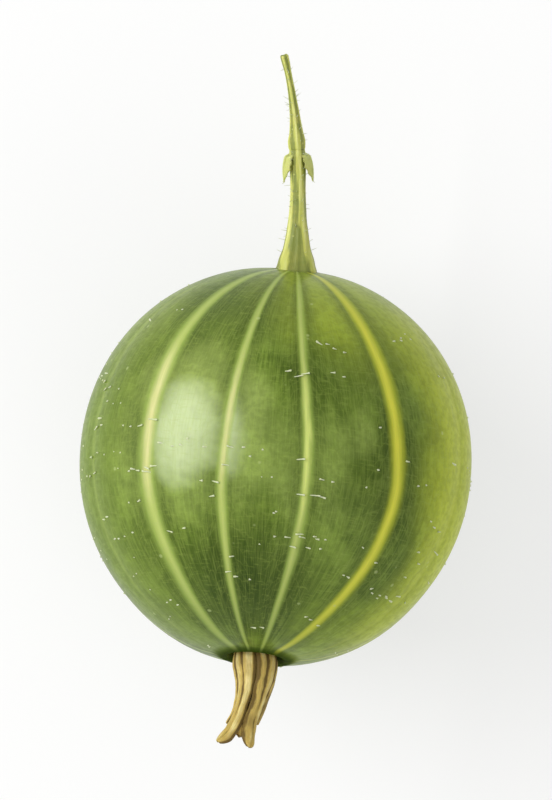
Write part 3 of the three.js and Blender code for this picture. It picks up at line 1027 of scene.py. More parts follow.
@dataclass
class Fruit:
    """The berry itself, which lies on its side with its stalk towards +Y. Sizes in millimetres."""

    width: float = 25.0
    length: float = 25.25
    stalk_end_fullness: float = 2.12
    flower_end_fullness: float = 2.0
    first_vein: float = -68.0  # degrees round the fruit from its top, towards +X
    veins: tuple[Vein, ...] = (
        Vein(27.5, 0.8, 0.14),
        Vein(25, 1.6, 0.84, flower_turn=7),
        Vein(26, 0.95, 0.86, stalk_turn=1.5, flower_turn=3),
        Vein(29.5, 0.92, 0.92, stalk_turn=-8, flower_turn=-4),
        Vein(28, 1.2, 1.0, 1.0, stalk_turn=-11, flower_turn=-9),
        Vein(26, 0.8, 0.14, 0.7),
        Vein(28, 1.0, 0.7, 0.4),
        Vein(28, 0.8, 0.8),
        Vein(26, 1.1, 0.9),
        Vein(28, 0.75, 0.7),
        Vein(28, 1.2, 0.9),
        Vein(30, 0.9, 0.8),
        Vein(30, 1.0, 0.7),
    )
    rib_depth: float = 0.16
    end_rise: float = 1.1  # how far both ends turn up from the middle
    stalk_dimple: float = 0.1
    flower_dimple: float = 0.35
    dimple_width: float = 2.4
    lean: float = 6.0
    middle_height: float = 12.2
    middle_along: float = -0.5
    gap: float = 0.3  # between the fruit's solid and what grows on it
    pit_radius: float = 1.75  # round the foot of the withered flower
    pit_depth: float = 0.6
    foot_radius: float = 1.45  # of the ring round the foot of the stalk
    lip_height: float = 0.17
    unevenness: float = 0.05
    columns_per_rib: int = 16
    rings: int = 150
    bristles: int = 330

    @property
    def lie(self) -> Matrix:
        """From the fruit's own axes to where it lies."""
        lift = Matrix.Translation((0, self.middle_along, self.middle_height))
        return lift @ Matrix.Rotation(-math.radians(self.lean), 4, "X")

    def beside_line(self, along: np.ndarray, aside: np.ndarray, above: np.ndarray) -> np.ndarray:
        """Points beside the fruit's line, which turns up towards both ends.

        Args:
            along: How far along the line.
            aside: How far to the right of it.
            above: How far above it.

        Returns:
            The points, as (..., xyz).
        """
        half = self.length / 2
        tilt = np.arctan(2 * self.end_rise * along / half**2)
        risen = self.end_rise * (along / half) ** 2
        return np.stack([aside, along - above * np.sin(tilt), risen + above * np.cos(tilt)], axis=-1)

    def growth(self, end: End, dimple: float) -> Matrix:
        """From the axes of what grows from an end, with +Y away from the fruit, to where it lies.

        Args:
            end: Which end it grows from.
            dimple: How deep that end's dimple is.

        Returns:
            The matrix.
        """
        foot = end.value * (self.length / 2 - dimple)
        slope = math.atan(2 * self.end_rise * foot / (self.length / 2) ** 2)
        turn = Matrix.Rotation(slope, 4, "X")
        if end is End.FLOWER:
            turn = turn @ Matrix.Rotation(math.pi, 4, "Z")
        place = Matrix.Translation(self.beside_line(*np.array([foot, 0.0, 0.0])))
        return self.lie @ place @ turn @ Matrix.Translation((0, self.gap, 0))

    def skin(self, round_: np.ndarray, from_stalk: np.ndarray, swell: np.ndarray) -> np.ndarray:
        """Points of the skin on the fruit's own axes.

        Args:
            round_: The angle round the fruit from its top, in radians.
            from_stalk: The angle down from the stalk end, in radians.
            swell: How high the rib stands there, from 0 at a vein to 1.

        Returns:
            The points, as (..., xyz).
        """
        end = np.cos(from_stalk)
        fullness = np.where(end > 0, self.stalk_end_fullness, self.flower_end_fullness)
        across = np.abs(np.sin(from_stalk)) / (self.width / 2)
        along = np.abs(end) / (self.length / 2)
        reach = (across**fullness + along**fullness) ** (-1 / fullness)
        groove = self.rib_depth * (1 - swell) * np.sin(from_stalk) ** 2
        radius = np.maximum(reach * np.sin(from_stalk) - groove, 0)
        dimple = np.where(end > 0, self.stalk_dimple, self.flower_dimple)
        edge = np.where(end > 0, self.foot_radius, self.pit_radius)
        pit = self.pit_depth * (1 - rise(radius / edge, 0.78, 1.04))
        lip = self.lip_height * np.exp(-(((radius - 1.2 * self.pit_radius) / (0.24 * self.pit_radius)) ** 2))
        sunk = dimple * np.exp(-((radius / self.dimple_width) ** 2)) + np.where(end < 0, pit - lip, 0.3 * pit)
        height = reach * end - sunk * np.sign(end)
        return self.beside_line(height, radius * np.sin(round_), radius * np.cos(round_))

    def rib_swell(self, share: np.ndarray) -> np.ndarray:
        """How high a rib stands, from 0 to 1, at a share of the way from one vein to the next."""
        return (np.sin(share * math.pi) ** 2 + 0.004) ** 0.35

    def settle(self, points: np.ndarray) -> np.ndarray:
        """Lays points of the fruit down, and flattens what would sink below its resting place."""
        lying = moved(points, self.lie)
        lying[..., 2] = np.maximum(lying[..., 2], 0)
        return lying

    def columns(self, from_stalk: np.ndarray) -> tuple[np.ndarray, np.ndarray]:
        """Where the mesh's columns stand.

        Args:
            from_stalk: Each ring's angle down from the stalk end, in radians.

        Returns:
            Each point's angle round the fruit in radians, as (ring, column), and each column's place
            counted in ribs, with the first column once more at the end.
        """
        ring = (*self.veins, self.veins[0])
        ribs = np.arange(len(self.veins) * self.columns_per_rib + 1) / self.columns_per_rib
        places = self.first_vein + np.concatenate([[0], np.cumsum([vein.gap for vein in self.veins])])
        turns = (places, [vein.stalk_turn for vein in ring], [vein.flower_turn for vein in ring])
        place, at_stalk, at_flower = (np.interp(ribs, np.arange(len(ring)), turn) for turn in turns)
        near_stalk = 1 - rise(from_stalk, 0.15, 2.3)[:, None]
        near_flower = rise(from_stalk, 1.6, 3.1)[:, None]
        return np.radians(place + at_stalk * near_stalk + at_flower * near_flower)[:, :-1], ribs

    def build_skin(self, material: bpy.types.Material) -> None:
        """Builds the fruit's skin, whose columns follow its veins.

        Args:
            material: The skin's material.
        """
        share = np.linspace(0, 1, self.rings)[1:-1]
        from_stalk = math.pi * (share - 0.72 * np.sin(TURN * share) / TURN)
        round_, ribs = self.columns(from_stalk)
        swell = np.broadcast_to(self.rib_swell(ribs[:-1] % 1), round_.shape)
        points = self.skin(round_, from_stalk[:, None], swell)
        points *= 1 + (self.unevenness / self.width * 2) * lumps(points, 7.0)[..., None]
        draft = Draft()
        draft.loft(self.settle(points), swell, girth=self.width / 2, turns=ribs)
        nearest = [self.veins[int(rib + 0.5) % len(self.veins)] for rib in ribs[:-1]]
        looks = np.array([(vein.width, vein.show, vein.yellow) for vein in nearest])
        draft.marks["vein"] = np.concatenate([np.tile(looks, (len(from_stalk), 1)), looks[:2]])
        corners = []
        for row in range(len(from_stalk) - 1):
            low, high = from_stalk[row] / math.pi, from_stalk[row + 1] / math.pi
            for column in range(len(ribs) - 1):
                left, right = ribs[column], ribs[column + 1]
                corners += [(left, low), (right, low), (right, high), (left, high)]
        draft.corners[: len(corners)] = corners
        draft.finish("fruit_skin", Slot.SKIN, material, ["berry"])

    def skin_frame(self, round_: float, from_stalk: float) -> SkinFrame:
        """A place on the lying fruit.

        Args:
            round_: The angle round the fruit from its top, in radians.
            from_stalk: The angle down from the stalk end, in radians.

        Returns:
            The point, the outward normal, the direction round the fruit and the direction down it.
        """
        step = 0.01
        turns = np.array([round_, round_ + step, round_])
        downs = np.array([from_stalk, from_stalk, from_stalk + step])
        here, beside, below = moved(self.skin(turns, downs, np.full(3, 0.8)), self.lie)
        sideways = (beside - here) / np.linalg.norm(beside - here)
        down = (below - here) / np.linalg.norm(below - here)
        normal = np.cross(sideways, down)
        return here, normal / np.linalg.norm(normal), sideways, down

    def build_bristles(self, material: bpy.types.Material) -> None:
        """Scatters short glassy bristles, each on its small bulb.

        Args:
            material: The bristles' material.
        """
        chance = random.Random(41)
        draft = Draft()
        grown = 0
        while grown < self.bristles:
            from_stalk = math.acos(chance.uniform(-0.97, 0.97))
            round_ = chance.uniform(-math.pi, math.pi)
            bare = 0.72 if from_stalk < 1.45 else 0.1
            if self.skin_frame(round_, from_stalk)[0][2] < 1.2 or chance.random() < bare:
                continue
            lean_to = chance.choice((-1, 1))
            for place in range(chance.choice((1, 1, 1, 2, 3))):
                here, normal, sideways, down = self.skin_frame(
                    round_ + place * chance.uniform(0.05, 0.09), from_stalk + chance.gauss(0, 0.012)
                )
                aside = lean_to * sideways + chance.gauss(0, 0.16) * down
                way = 0.28 * normal + aside
                way /= np.linalg.norm(way)
                length = chance.uniform(0.45, 0.8)
                droop = -0.1 * length * normal
                draft.loft(hair(here, way, droop, length, chance.uniform(0.036, 0.05)), girth=0.1)
                grown += 1
        draft.finish("bristles", Slot.SKIN, material, [])


# ---- The stalk -------------------------------------------------------------------------------------


@dataclass
class Stalk:
    """The pedicel on the fruit, the peduncle beyond it and the two bracts where they meet."""

    fruit: Fruit
    pedicel_length: float = 7.3
    peduncle_length: float = 5.9
    radius: float = 0.5
    flare_radius: float = 1.3
    node_radius: float = 0.53
    thin_radius: float = 0.21
    picked_end_radius: float = 0.27
    bract_length: float = 2.0
    bract_width: float = 1.05
    bract_spread: float = 11.0
    ridges: int = 4
    line: GrowthLine = field(init=False)

    def __post_init__(self) -> None:
        """Lays out the line that the stalk follows."""
        whole = self.pedicel_length + self.fruit.gap + self.peduncle_length
        self.line = GrowthLine(
            [
                (0, 0, 0),
                (-0.36, whole * 0.36, 0.1),
                (-0.63, whole * 0.68, 0.3),
                (-2.15, whole * 0.98, 0.9),
            ]
        )

    @property
    def lie(self) -> Matrix:
        """From the stalk's own axes to where it lies."""
        return self.fruit.growth(End.STALK, self.fruit.stalk_dimple)

    def ridge(self, height: np.ndarray, round_: np.ndarray) -> np.ndarray:
        """How high the stalk's low ridges stand, from 0 to 1, as they wind slowly up it."""
        wave = 0.5 + 0.5 * np.cos(self.ridges * round_ + 0.4 * height + 2.7)
        fine = 0.5 + 0.5 * np.cos(13 * round_ - 0.8 * height)
        return 0.78 * wave**1.4 + 0.22 * fine

    def build_pedicel(self, material: bpy.types.Material) -> None:
        """Builds the part that carries the fruit and flares out on to it.

        Args:
            material: The stalk's material.
        """
        flare, thin, node = self.flare_radius, self.radius, self.node_radius
        stations = [
            (-0.75, flare * 1.1),
            (-0.3, flare * 1.07),
            (0.0, flare * 1.0),
            (0.35, flare * 0.94),
            (1.1, flare * 0.74),
            (2.1, flare * 0.58),
            (3.2, thin * 1.18),
            (5.0, thin),
            (self.pedicel_length - 0.9, thin * 1.02),
            (self.pedicel_length - 0.25, node),
            (self.pedicel_length + 0.12, node * 0.9),
        ]

        def reach(height: np.ndarray, round_: np.ndarray) -> np.ndarray:
            """The radius, with ridges that are deepest at the flared foot."""
            depth = 0.12 - 0.04 * rise(height, 1.0, 3.2)
            return through(stations, height) * (1 - depth + depth * 1.6 * self.ridge(height, round_))

        heights = np.concatenate([np.linspace(-0.75, 1.5, 36)[:-1], np.linspace(1.5, stations[-1][0], 60)])
        sides = 60
        rings = tube(reach, heights, sides)
        relief = self.ridge(*np.meshgrid(heights, np.arange(sides) / sides * TURN, indexing="ij"))
        # painted shade: the flared foot is darker between its ridges
        relief = relief ** (1 + 1.6 * (1 - rise(heights, 0.3, 3.0)))[:, None]
        rings[..., [0, 2]] *= 1 + 0.03 * lumps(rings, 1.1, 2)[..., None]
        draft = Draft()
        draft.loft(moved(self.line.bend(rings), self.lie), relief, girth=self.radius * 1.6)
        draft.finish("stalk_pedicel", Slot.STALK, material, ["pedicel"])

    def build_peduncle(self, material: bpy.types.Material) -> None:
        """Builds the part between the bracts and the picked end.

        Args:
            material: The stalk's material.
        """
        start = self.pedicel_length + self.fruit.gap
        stop = start + self.peduncle_length
        wide, thin, node, picked = self.radius, self.thin_radius, self.node_radius, self.picked_end_radius
        stations = [
            (start - 0.3, node * 0.82),
            (start - 0.05, node * 0.97),
            (start + 0.3, node * 1.0),
            (start + 0.9, wide * 0.84),
            (start + 2.0, wide * 0.62),
            (start + 3.4, thin * 1.1),
            (stop - 1.1, thin),
            (stop - 0.45, picked * 0.96),
            (stop - 0.12, picked),
            (stop, picked * 0.86),
            (stop + 0.01, picked * 0.6),
        ]

        def reach(height: np.ndarray, round_: np.ndarray) -> np.ndarray:
            """The radius, with its ridges."""
            return through(stations, height) * (0.88 + 0.2 * self.ridge(height, round_))

        heights = np.append(np.linspace(start - 0.3, stop - 0.01, 96), stop)
        sides = 48
        rings = tube(reach, heights, sides)
        relief = self.ridge(*np.meshgrid(heights, np.arange(sides) / sides * TURN, indexing="ij"))
        rings[..., [0, 2]] *= 1 + 0.05 * lumps(rings, 0.9, 5)[..., None]
        shrinking = picked * np.array([0.6, 0.36, 0.12])[:, None]
        scar = tube(lambda height, _: shrinking + 0 * height, np.zeros(3), sides)
        scar[..., 1] = np.array([stop - 0.1, stop - 0.16, stop - 0.12])[:, None]
        rings = np.concatenate([rings, scar])
        rings[-4:, :, 1] += 0.07 * lumps(rings[-4:], 0.3, 9)
        relief = np.concatenate([relief, np.full((len(scar), sides), 0.12)])
        relief[-4] *= 0.5
        draft = Draft()
        draft.loft(moved(self.line.bend(rings), self.lie), relief, girth=self.radius * 1.5)
        draft.finish("stalk_peduncle", Slot.STALK, material, ["peduncle"])

    def bract_lie(self, side: int) -> Matrix:
        """From a bract's own axes, with its foot at the origin, to where it lies.

        Args:
            side: -1 for the left bract and 1 for the right.

        Returns:
            The matrix.
        """
        centre, way = self.line.at(np.array(self.pedicel_length))
        turn = Vector((0, 1, 0)).rotation_difference(Vector(way)).to_matrix().to_4x4()
        outward = Matrix.Translation((0, 0, self.node_radius - 0.02))
        tilt = Matrix.Rotation(math.pi - math.radians(self.bract_spread), 4, "X")
        return (
            self.lie
            @ Matrix.Translation(Vector(centre))
            @ turn
            @ Matrix.Rotation(side * math.pi / 2, 4, "Y")
            @ outward
            @ tilt
        )

    def build_bract(self, name: str, side: int, material: bpy.types.Material) -> None:
        """Builds one thin scale with a midrib and a fringe of hairs.

        Args:
            name: The solid that it stands for.
            side: -1 for the left bract and 1 for the right.
            material: The bract's material.
        """
        chance = random.Random(7 + side)
        along = np.linspace(0, 1, 34)
        across = np.sin(np.linspace(-1, 1, 17) * math.pi / 2)
        share, aside = np.meshgrid(along, across, indexing="ij")
        outline = through([(0, 0.6), (0.2, 0.92), (0.45, 1.0), (0.7, 0.78), (0.9, 0.36), (1, 0.08)], share)
        jagged = 1 + 0.05 * np.sin(27 * share + side) * rise(share, 0.15, 0.4)
        x = aside * outline * jagged * self.bract_width / 2
        cup = (x / self.bract_width) ** 2 * 1.5
        rib = 0.06 * np.exp(-((aside / 0.16) ** 2)) * (1 - share)
        crease = 0.018 * np.cos(9 * aside + side) * (1 - share)
        bow = 0.14 * np.sin(math.pi * share) - 0.3 * (1 - rise(share, 0, 0.2))
        thick = (0.13 - 0.08 * share) * (1 - 0.7 * aside**2) + 0.02
        front = np.stack([x, share * self.bract_length, cup - bow], axis=-1)
        back = front.copy()
        back[..., 2] -= thick + rib + crease
        rings = np.concatenate([front, back[:, ::-1]], axis=1)
        ridge = 0.45 + 3.5 * rib + 8 * crease
        relief = np.clip(np.concatenate([ridge, ridge[:, ::-1]], axis=1), 0, 1)
        lie = self.bract_lie(side)
        draft = Draft()
        draft.loft(moved(rings, lie), relief, girth=0.35)
        for row in range(4, 33, 2):
            for edge, out in ((0, -1), (-1, 1)):
                way = Vector((out * 0.8, 0.7, -0.25 + chance.uniform(-0.3, 0.3))).normalized()
                length = chance.uniform(0.16, 0.34)
                root = moved(front[row, edge], lie)
                turned = np.array(lie.to_3x3() @ way)
                draft.loft(hair(root, turned, 0.05 * turned[[1, 2, 0]], length, 0.014), girth=0.1)
        draft.finish(f"stalk_{name}", Slot.BRACT, material, [name])

    def build_hairs(self, material: bpy.types.Material) -> None:
        """Scatters fine hairs along the stalk.

        Args:
            material: The hairs' material.
        """
        chance = random.Random(23)
        draft = Draft()
        for _ in range(96):
            height = chance.uniform(0.5, self.line.length - 0.7)
            angle = chance.uniform(0, TURN)
            stout = np.interp(
                height,
                [0.5, 1.1, 2.1, 3.2, 5.0, 7.3, 8.5, 10.0, 13.0],
                [1.08, 0.94, 0.78, 0.6, 0.48, 0.5, 0.38, 0.27, 0.21],
            )
            out = np.array([math.sin(angle), 0.0, math.cos(angle)])
            root = stout * 0.93 * out + [0, height, 0]
            far = root + out + [0, chance.uniform(-0.2, 0.9), 0]
            root, far = moved(self.line.bend(np.array([root, far])), self.lie)
            way = (far - root) / np.linalg.norm(far - root)
            length = chance.uniform(0.22, 0.5)
            draft.loft(hair(root, way, np.array([0, 0, -0.12 * length]), length, 0.016), girth=0.1)
        draft.finish("stalk_hairs", Slot.STALK, material, [])


# ---- The withered flower ---------------------------------------------------------------------------


@dataclass(frozen=True)
class Sepal:
    """How one dry sepal has shrivelled, and how much painted shade it takes."""

    length: float
    flick: float  # how far its tip turns out
    curl: float  # how far its very end rolls up, in radians
    roll: float  # how far its edges roll in, or out where negative
    notch: float  # how deep its tip is split
    sway: float = 0.0  # how far its tip turns aside
    painted_back_shade: float = 0.0  # how much darker it is painted, as painted shade on a sepal that faces away from the top
    ridge: float = 0.74  # the share of its width that keeps its colour; its edges beyond are darkened as painted shade


@dataclass
class WitheredFlower:
    """The dry cup on the fruit's far end, and the sepals, petals, stamens and style that stand in it."""

    fruit: Fruit
    parts: int = 5
    tube_length: float = 1.5
    tube_radius: float = 1.36
    tube_wall: float = 0.32
    sepal_width: float = 1.24
    sepal_thickness: float = 0.15
    twist: float = 6.0
    petal_length: float = 1.9
    petal_width: float = 0.62
    stamen_length: float = 2.9
    stamen_radius: float = 0.09
    anther_radius: float = 0.16
    style_length: float = 4.2
    style_radius: float = 0.12
    fine_gap: float = 0.15
    sepals: tuple[Sepal, ...] = (
        Sepal(4.6, 0.1, 0.15, 0.2, 0.0, 0.1, 0.0, 0.66),
        Sepal(2.9, 0.0, 0.3, 0.2, 0.2, 0.0, 0.7),
        Sepal(3.2, 0.1, 0.9, 0.3, 0.0, 0.1, 0.5),
        Sepal(2.3, 0.0, -0.2, 0.3, 0.15, 0.0, 0.9),
        Sepal(3.9, 0.05, 0.1, 0.2, 0.0, -0.6, 0.1, 0.45),
    )
    line: GrowthLine = field(init=False)

    def __post_init__(self) -> None:
        """Lays out the line that the flower follows."""
        self.line = GrowthLine([(0, 0, 0), (-0.35, 1.8, 0.1), (0.2, 4.4, 0.2), (1.4, 6.6, 0.4)])

    @property
    def lie(self) -> Matrix:
        """From the flower's own axes, with +Y away from the fruit, to where it lies."""
        return self.fruit.growth(End.FLOWER, self.fruit.flower_dimple)

    def place(self, rings: np.ndarray) -> np.ndarray:
        """Bends points along the flower and lays them down."""
        return moved(self.line.bend(rings), self.lie)

    def build_tube(self, material: bpy.types.Material) -> None:
        """Builds the short fluted cup, outside and in.

        Args:
            material: The dry calyx's material.
        """
        radius, wall, tall = self.tube_radius, self.tube_wall * 0.6, self.tube_length
        outside = [
            (-0.7, radius * 0.86),
            (0.0, radius * 0.9),
            (0.35, radius * 0.9),
            (tall + 0.12, radius * 0.76),
        ]
        sides = 90
        up = np.linspace(-0.7, tall + 0.12, 44)
        down = np.linspace(tall + 0.12, 0.5, 20)

        def fold(height: np.ndarray, round_: np.ndarray) -> np.ndarray:
            """How high the cup's flutes and finer wrinkles stand, from 0 to 1."""
            main = 0.5 + 0.5 * np.cos(self.parts * round_ + math.pi)
            fine = 0.5 + 0.5 * np.sin(17 * round_ + 2.2 * np.sin(2 * height) + 3 * np.sin(round_))
            return 0.6 * main + 0.4 * fine

        def outer(height: np.ndarray, round_: np.ndarray) -> np.ndarray:
            """The radius of the cup's outside."""
            return through(outside, height) * (0.9 + 0.15 * fold(height, round_))

        def inner(height: np.ndarray, round_: np.ndarray) -> np.ndarray:
            """The radius of its inside, whose wall thickens towards the floor."""
            return outer(height, round_) - wall - 0.12 * (1 - rise(height, 0.5, tall))

        rings = np.concatenate([tube(outer, up, sides), tube(inner, down, sides)])
        round_ = np.arange(sides) / sides * TURN
        relief_out = fold(*np.meshgrid(up, round_, indexing="ij"))
        # painted shade: the cup's inside stands low, so that it takes the dark fold colour
        relief_in = 0.3 * fold(*np.meshgrid(down, round_, indexing="ij"))
        rings[..., 1] += 0.05 * lumps(rings, 0.5, 3) * rise(rings[..., 1], 0.6, tall)
        draft = Draft()
        draft.loft(self.place(rings), np.concatenate([relief_out, relief_in]), girth=radius)
        draft.finish("flower_cup", Slot.DRY_CALYX, material, ["calyx_tube"])

    def build_sepal(self, number: int, material: bpy.types.Material) -> None:
        """Builds one dry, grooved and curled strap.

        Args:
            number: Which sepal, from 1.
            material: The dry calyx's material.
        """
        sepal = self.sepals[number - 1]
        along = np.linspace(0, 1, 76)
        across = np.sin(np.linspace(-1, 1, 25) * math.pi / 2)
        foot = -0.7
        length = self.tube_length + self.fine_gap + sepal.length - foot

        free = rise(along, 0.3, 1.0)
        heading = 0.5 * sepal.flick * free + sepal.curl * rise(along, 0.8, 1.04)
        step = length / (len(along) - 1)
        out = np.concatenate([[0], np.cumsum(np.sin(heading[1:]))]) * step
        up = np.concatenate([[0], np.cumsum(np.cos(heading[1:]))]) * step
        waist = [(-0.7, 1.12), (0.2, 1.26), (1.2, 1.12), (2.6, 0.88), (4.0, 0.82), (8.0, 0.9)]
        lane = through(waist, foot + up) + out

        share, aside = np.meshgrid(along, across, indexing="ij")
        tall = foot + up[:, None] + 0 * aside
        joined = (TURN * lane / self.parts * 0.5 * 0.98)[:, None]
        own = self.sepal_width / 2 * (0.9 + 0.12 * rise(share, 0.7, 0.92))
        half = joined + (own - joined) * rise(tall, self.tube_length + 1.1, self.tube_length + 2.6)
        round_end = 1 - 0.5 * self.sepal_width / length
        half = half * np.sqrt(1 - 0.96 * (np.maximum(share - round_end, 0) / (1 - round_end)) ** 2)
        half = half * (1 + 0.06 * np.sin(11 * share + 2.1 * number) * np.sign(aside) * rise(share, 0.3, 0.5))

        phase = 1.7 * number
        creases = 0.5 + 0.5 * np.cos(4.4 * aside + 1.2 * np.sin(3 * share + phase) + phase)
        ripples = 0.5 + 0.5 * np.sin(17 * share + 3.2 * aside + 2 * phase)
        groove = np.exp(-(((aside - 0.16 * np.sin(2.6 * share + phase)) / 0.15) ** 2))
        height = 0.5 + 0.36 * creases + 0.12 * ripples - 0.5 * groove
        rolled = sepal.roll * np.abs(aside) ** 2.5 * (0.45 + 0.55 * rise(share, 0.1, 0.8))
        sag = 0.17 * height + rolled * -1.0

        split = sepal.notch * (1 - np.abs(aside) ** 0.8) * rise(share, 0.8, 1)
        angle = (number - 0.5) / self.parts * TURN
        twist = math.radians(self.twist) * sepal.length / self.sepals[0].length
        angle = angle + twist * rise(share, 0.2, 1.1)
        thick = self.sepal_thickness * (1.05 - 0.3 * share) * (1 - 0.5 * aside**2)

        def layer(offset: np.ndarray) -> np.ndarray:
            """The strap's points at an offset outward from its middle, which may vary over it."""
            tilt = np.sin(heading)[:, None]
            distance = np.maximum(lane[:, None] + sag + offset * np.cos(heading)[:, None], 0.12)
            turn = angle + aside * half / np.maximum(lane[:, None], 0.7)
            level = tall - split - offset * tilt
            swayed = distance * np.sin(turn) + sepal.sway * rise(share, 0.66, 1.08) ** 1.2
            return np.stack([swayed, level, distance * np.cos(turn)], axis=-1)

        front, back = layer(thick / 2), layer(-thick / 2)
        rings = np.concatenate([front, back[:, ::-1]], axis=1)
        rings = rings + 0.04 * lumps(rings, 0.55, number)[..., None] * rise(along, 0.1, 0.4)[:, None, None]
        # painted shade: the edges, and the whole of a sepal that faces away, are made low so that they take
        # the dark fold colour
        edge = 1 - 0.85 * rise(np.abs(aside), sepal.ridge, 0.6 + 0.4 * sepal.ridge)
        relief = np.clip(height * edge, 0, 1) * (1 - 0.5 * sepal.painted_back_shade)
        draft = Draft()
        draft.loft(self.place(rings), np.concatenate([relief, 0.75 * relief[:, ::-1]], axis=1), girth=0.55)
        draft.finish(f"flower_sepal_{number}", Slot.DRY_CALYX, material, [f"sepal_{number}"])

    def build_petal(self, number: int, material: bpy.types.Material) -> None:
        """Builds one small dry petal, fan-shaped and crumpled.

        Args:
            number: Which petal, from 1.
            material: The dry petal's material.
        """
        along = np.linspace(0, 1, 24)
        across = np.sin(np.linspace(-1, 1, 13) * math.pi / 2)
        share, aside = np.meshgrid(along, across, indexing="ij")
        angle = number / self.parts * TURN
        fan = np.sin(math.pi * np.minimum(share * 0.78 + 0.1, 1))
        outline = 0.5 + 0.5 * fan * (1 - 0.5 * rise(share, 0.86, 1))
        lane = self.tube_radius - self.tube_wall - self.fine_gap - 0.12
        crumple = 0.5 + 0.5 * np.cos(7 * aside + 2 * np.sin(5 * share + number))

        def layer(offset: float) -> np.ndarray:
            """The petal's points at an offset outward from its middle."""
            distance = lane + offset + 0.05 * crumple - 0.26 * rise(share, 0.2, 1.0)
            turn = angle + aside * outline * self.petal_width / 2 / lane
            tall = self.tube_length - 0.6 + share * self.petal_length + 0.06 * np.cos(6 * aside) * share
            return np.stack([distance * np.sin(turn), tall, distance * np.cos(turn)], axis=-1)

        rings = np.concatenate([layer(0.03), layer(-0.03)[:, ::-1]], axis=1)
        draft = Draft()
        relief = np.concatenate([crumple, crumple[:, ::-1]], axis=1)
        draft.loft(self.place(rings), relief, girth=0.4)
        draft.finish(f"flower_petal_{number}", Slot.DRY_PETAL, material, [f"petal_{number}"])

    def build_stamen(self, number: int, material: bpy.types.Material) -> None:
        """Builds one thread with its two-lobed anther.

        Args:
            number: Which stamen, from 1.
            material: The dry thread's material.
        """
        anther = self.anther_radius
        top = self.stamen_length
        stations = [
            (0.0, self.stamen_radius * 1.1),
            (top * 0.5, self.stamen_radius * 0.75),
            (top - 4.2 * anther, self.stamen_radius * 0.6),
            (top - 3.6 * anther, anther * 0.55),
            (top - 2.6 * anther, anther * 1.05),
            (top - 1.0 * anther, anther),
            (top, anther * 0.2),
        ]

        def reach(height: np.ndarray, round_: np.ndarray) -> np.ndarray:
            """The radius of the thread, and of the two lobes at its top."""
            lobed = rise(height, top - 4 * anther, top - 3 * anther)
            return through(stations, height) * (1 - 0.3 * lobed * np.cos(round_) ** 2)

        heights = np.linspace(0, top, 40)
        rings = tube(reach, heights, 14)
        angle = (number - 0.5) / self.parts * TURN
        lean = 0.44 - 0.05 * heights + 0.04 * np.sin(2.2 * heights + number)
        rings[..., 0] += (lean * math.sin(angle))[:, None]
        rings[..., 2] += (lean * math.cos(angle))[:, None]
        rings[..., 1] += 0.8
        relief = 0.5 + 0.5 * lumps(rings, 0.2, number)
        draft = Draft()
        draft.loft(self.place(rings), relief, girth=self.stamen_radius)
        draft.finish(f"flower_stamen_{number}", Slot.DRY_THREAD, material, [f"stamen_{number}"])

    def build_style(self, material: bpy.types.Material) -> None:
        """Builds the style, whose two halves part near its tip.

        Args:
            material: The dry thread's material.
        """
        draft = Draft()
        for side in (-1, 1):
            stations = [(0.0, 1.25), (0.6, 1.0), (0.94, 0.8), (0.98, 1.15), (1.0, 0.5)]
            heights = np.linspace(0, self.style_length, 60)
            rings = tube(
                lambda height, round_: self.style_radius * through(stations, height / self.style_length)
                + 0.008 * np.cos(5 * round_ + 3 * height),
                heights,
                16,
            )
            spread = 0.035 + 0.34 * rise(heights / self.style_length, 0.72, 1.15)
            rings[..., 0] += (side * spread)[:, None]
            rings[..., 1] += 0.6
            draft.loft(self.place(rings), 0.5 + 0.5 * lumps(rings, 0.25, side), girth=self.style_radius)
        draft.finish("flower_style", Slot.DRY_THREAD, material, ["style"])


# ---- The studio ------------------------------------------------------------------------------------


@dataclass(frozen=True)
class SoftBox:
    """A soft lamp. It stands at a distance in a direction from the fruit and faces it."""

    name: str
    way: tuple[float, float, float]
    distance: float
    wide: float
    tall: float
    watts: float

    def build(self, target: Vector) -> None:
        """Sets the lamp up.

        Args:
            target: What it faces, in metres.
        """
        data = bpy.data.lights.new(self.name, "AREA")
        data.shape = "RECTANGLE"
        data.size, data.size_y = self.wide, self.tall
        data.energy = self.watts
        lamp = bpy.data.objects.new(self.name, data)
        lamp.location = target + Vector(self.way).normalized() * self.distance
        back = Vector(self.way).normalized()
        side = Vector((0, 1, 0)).cross(back).normalized()
        lamp.rotation_euler = Matrix((side, back.cross(side), back)).transposed().to_euler()
        bpy.context.scene.collection.objects.link(lamp)


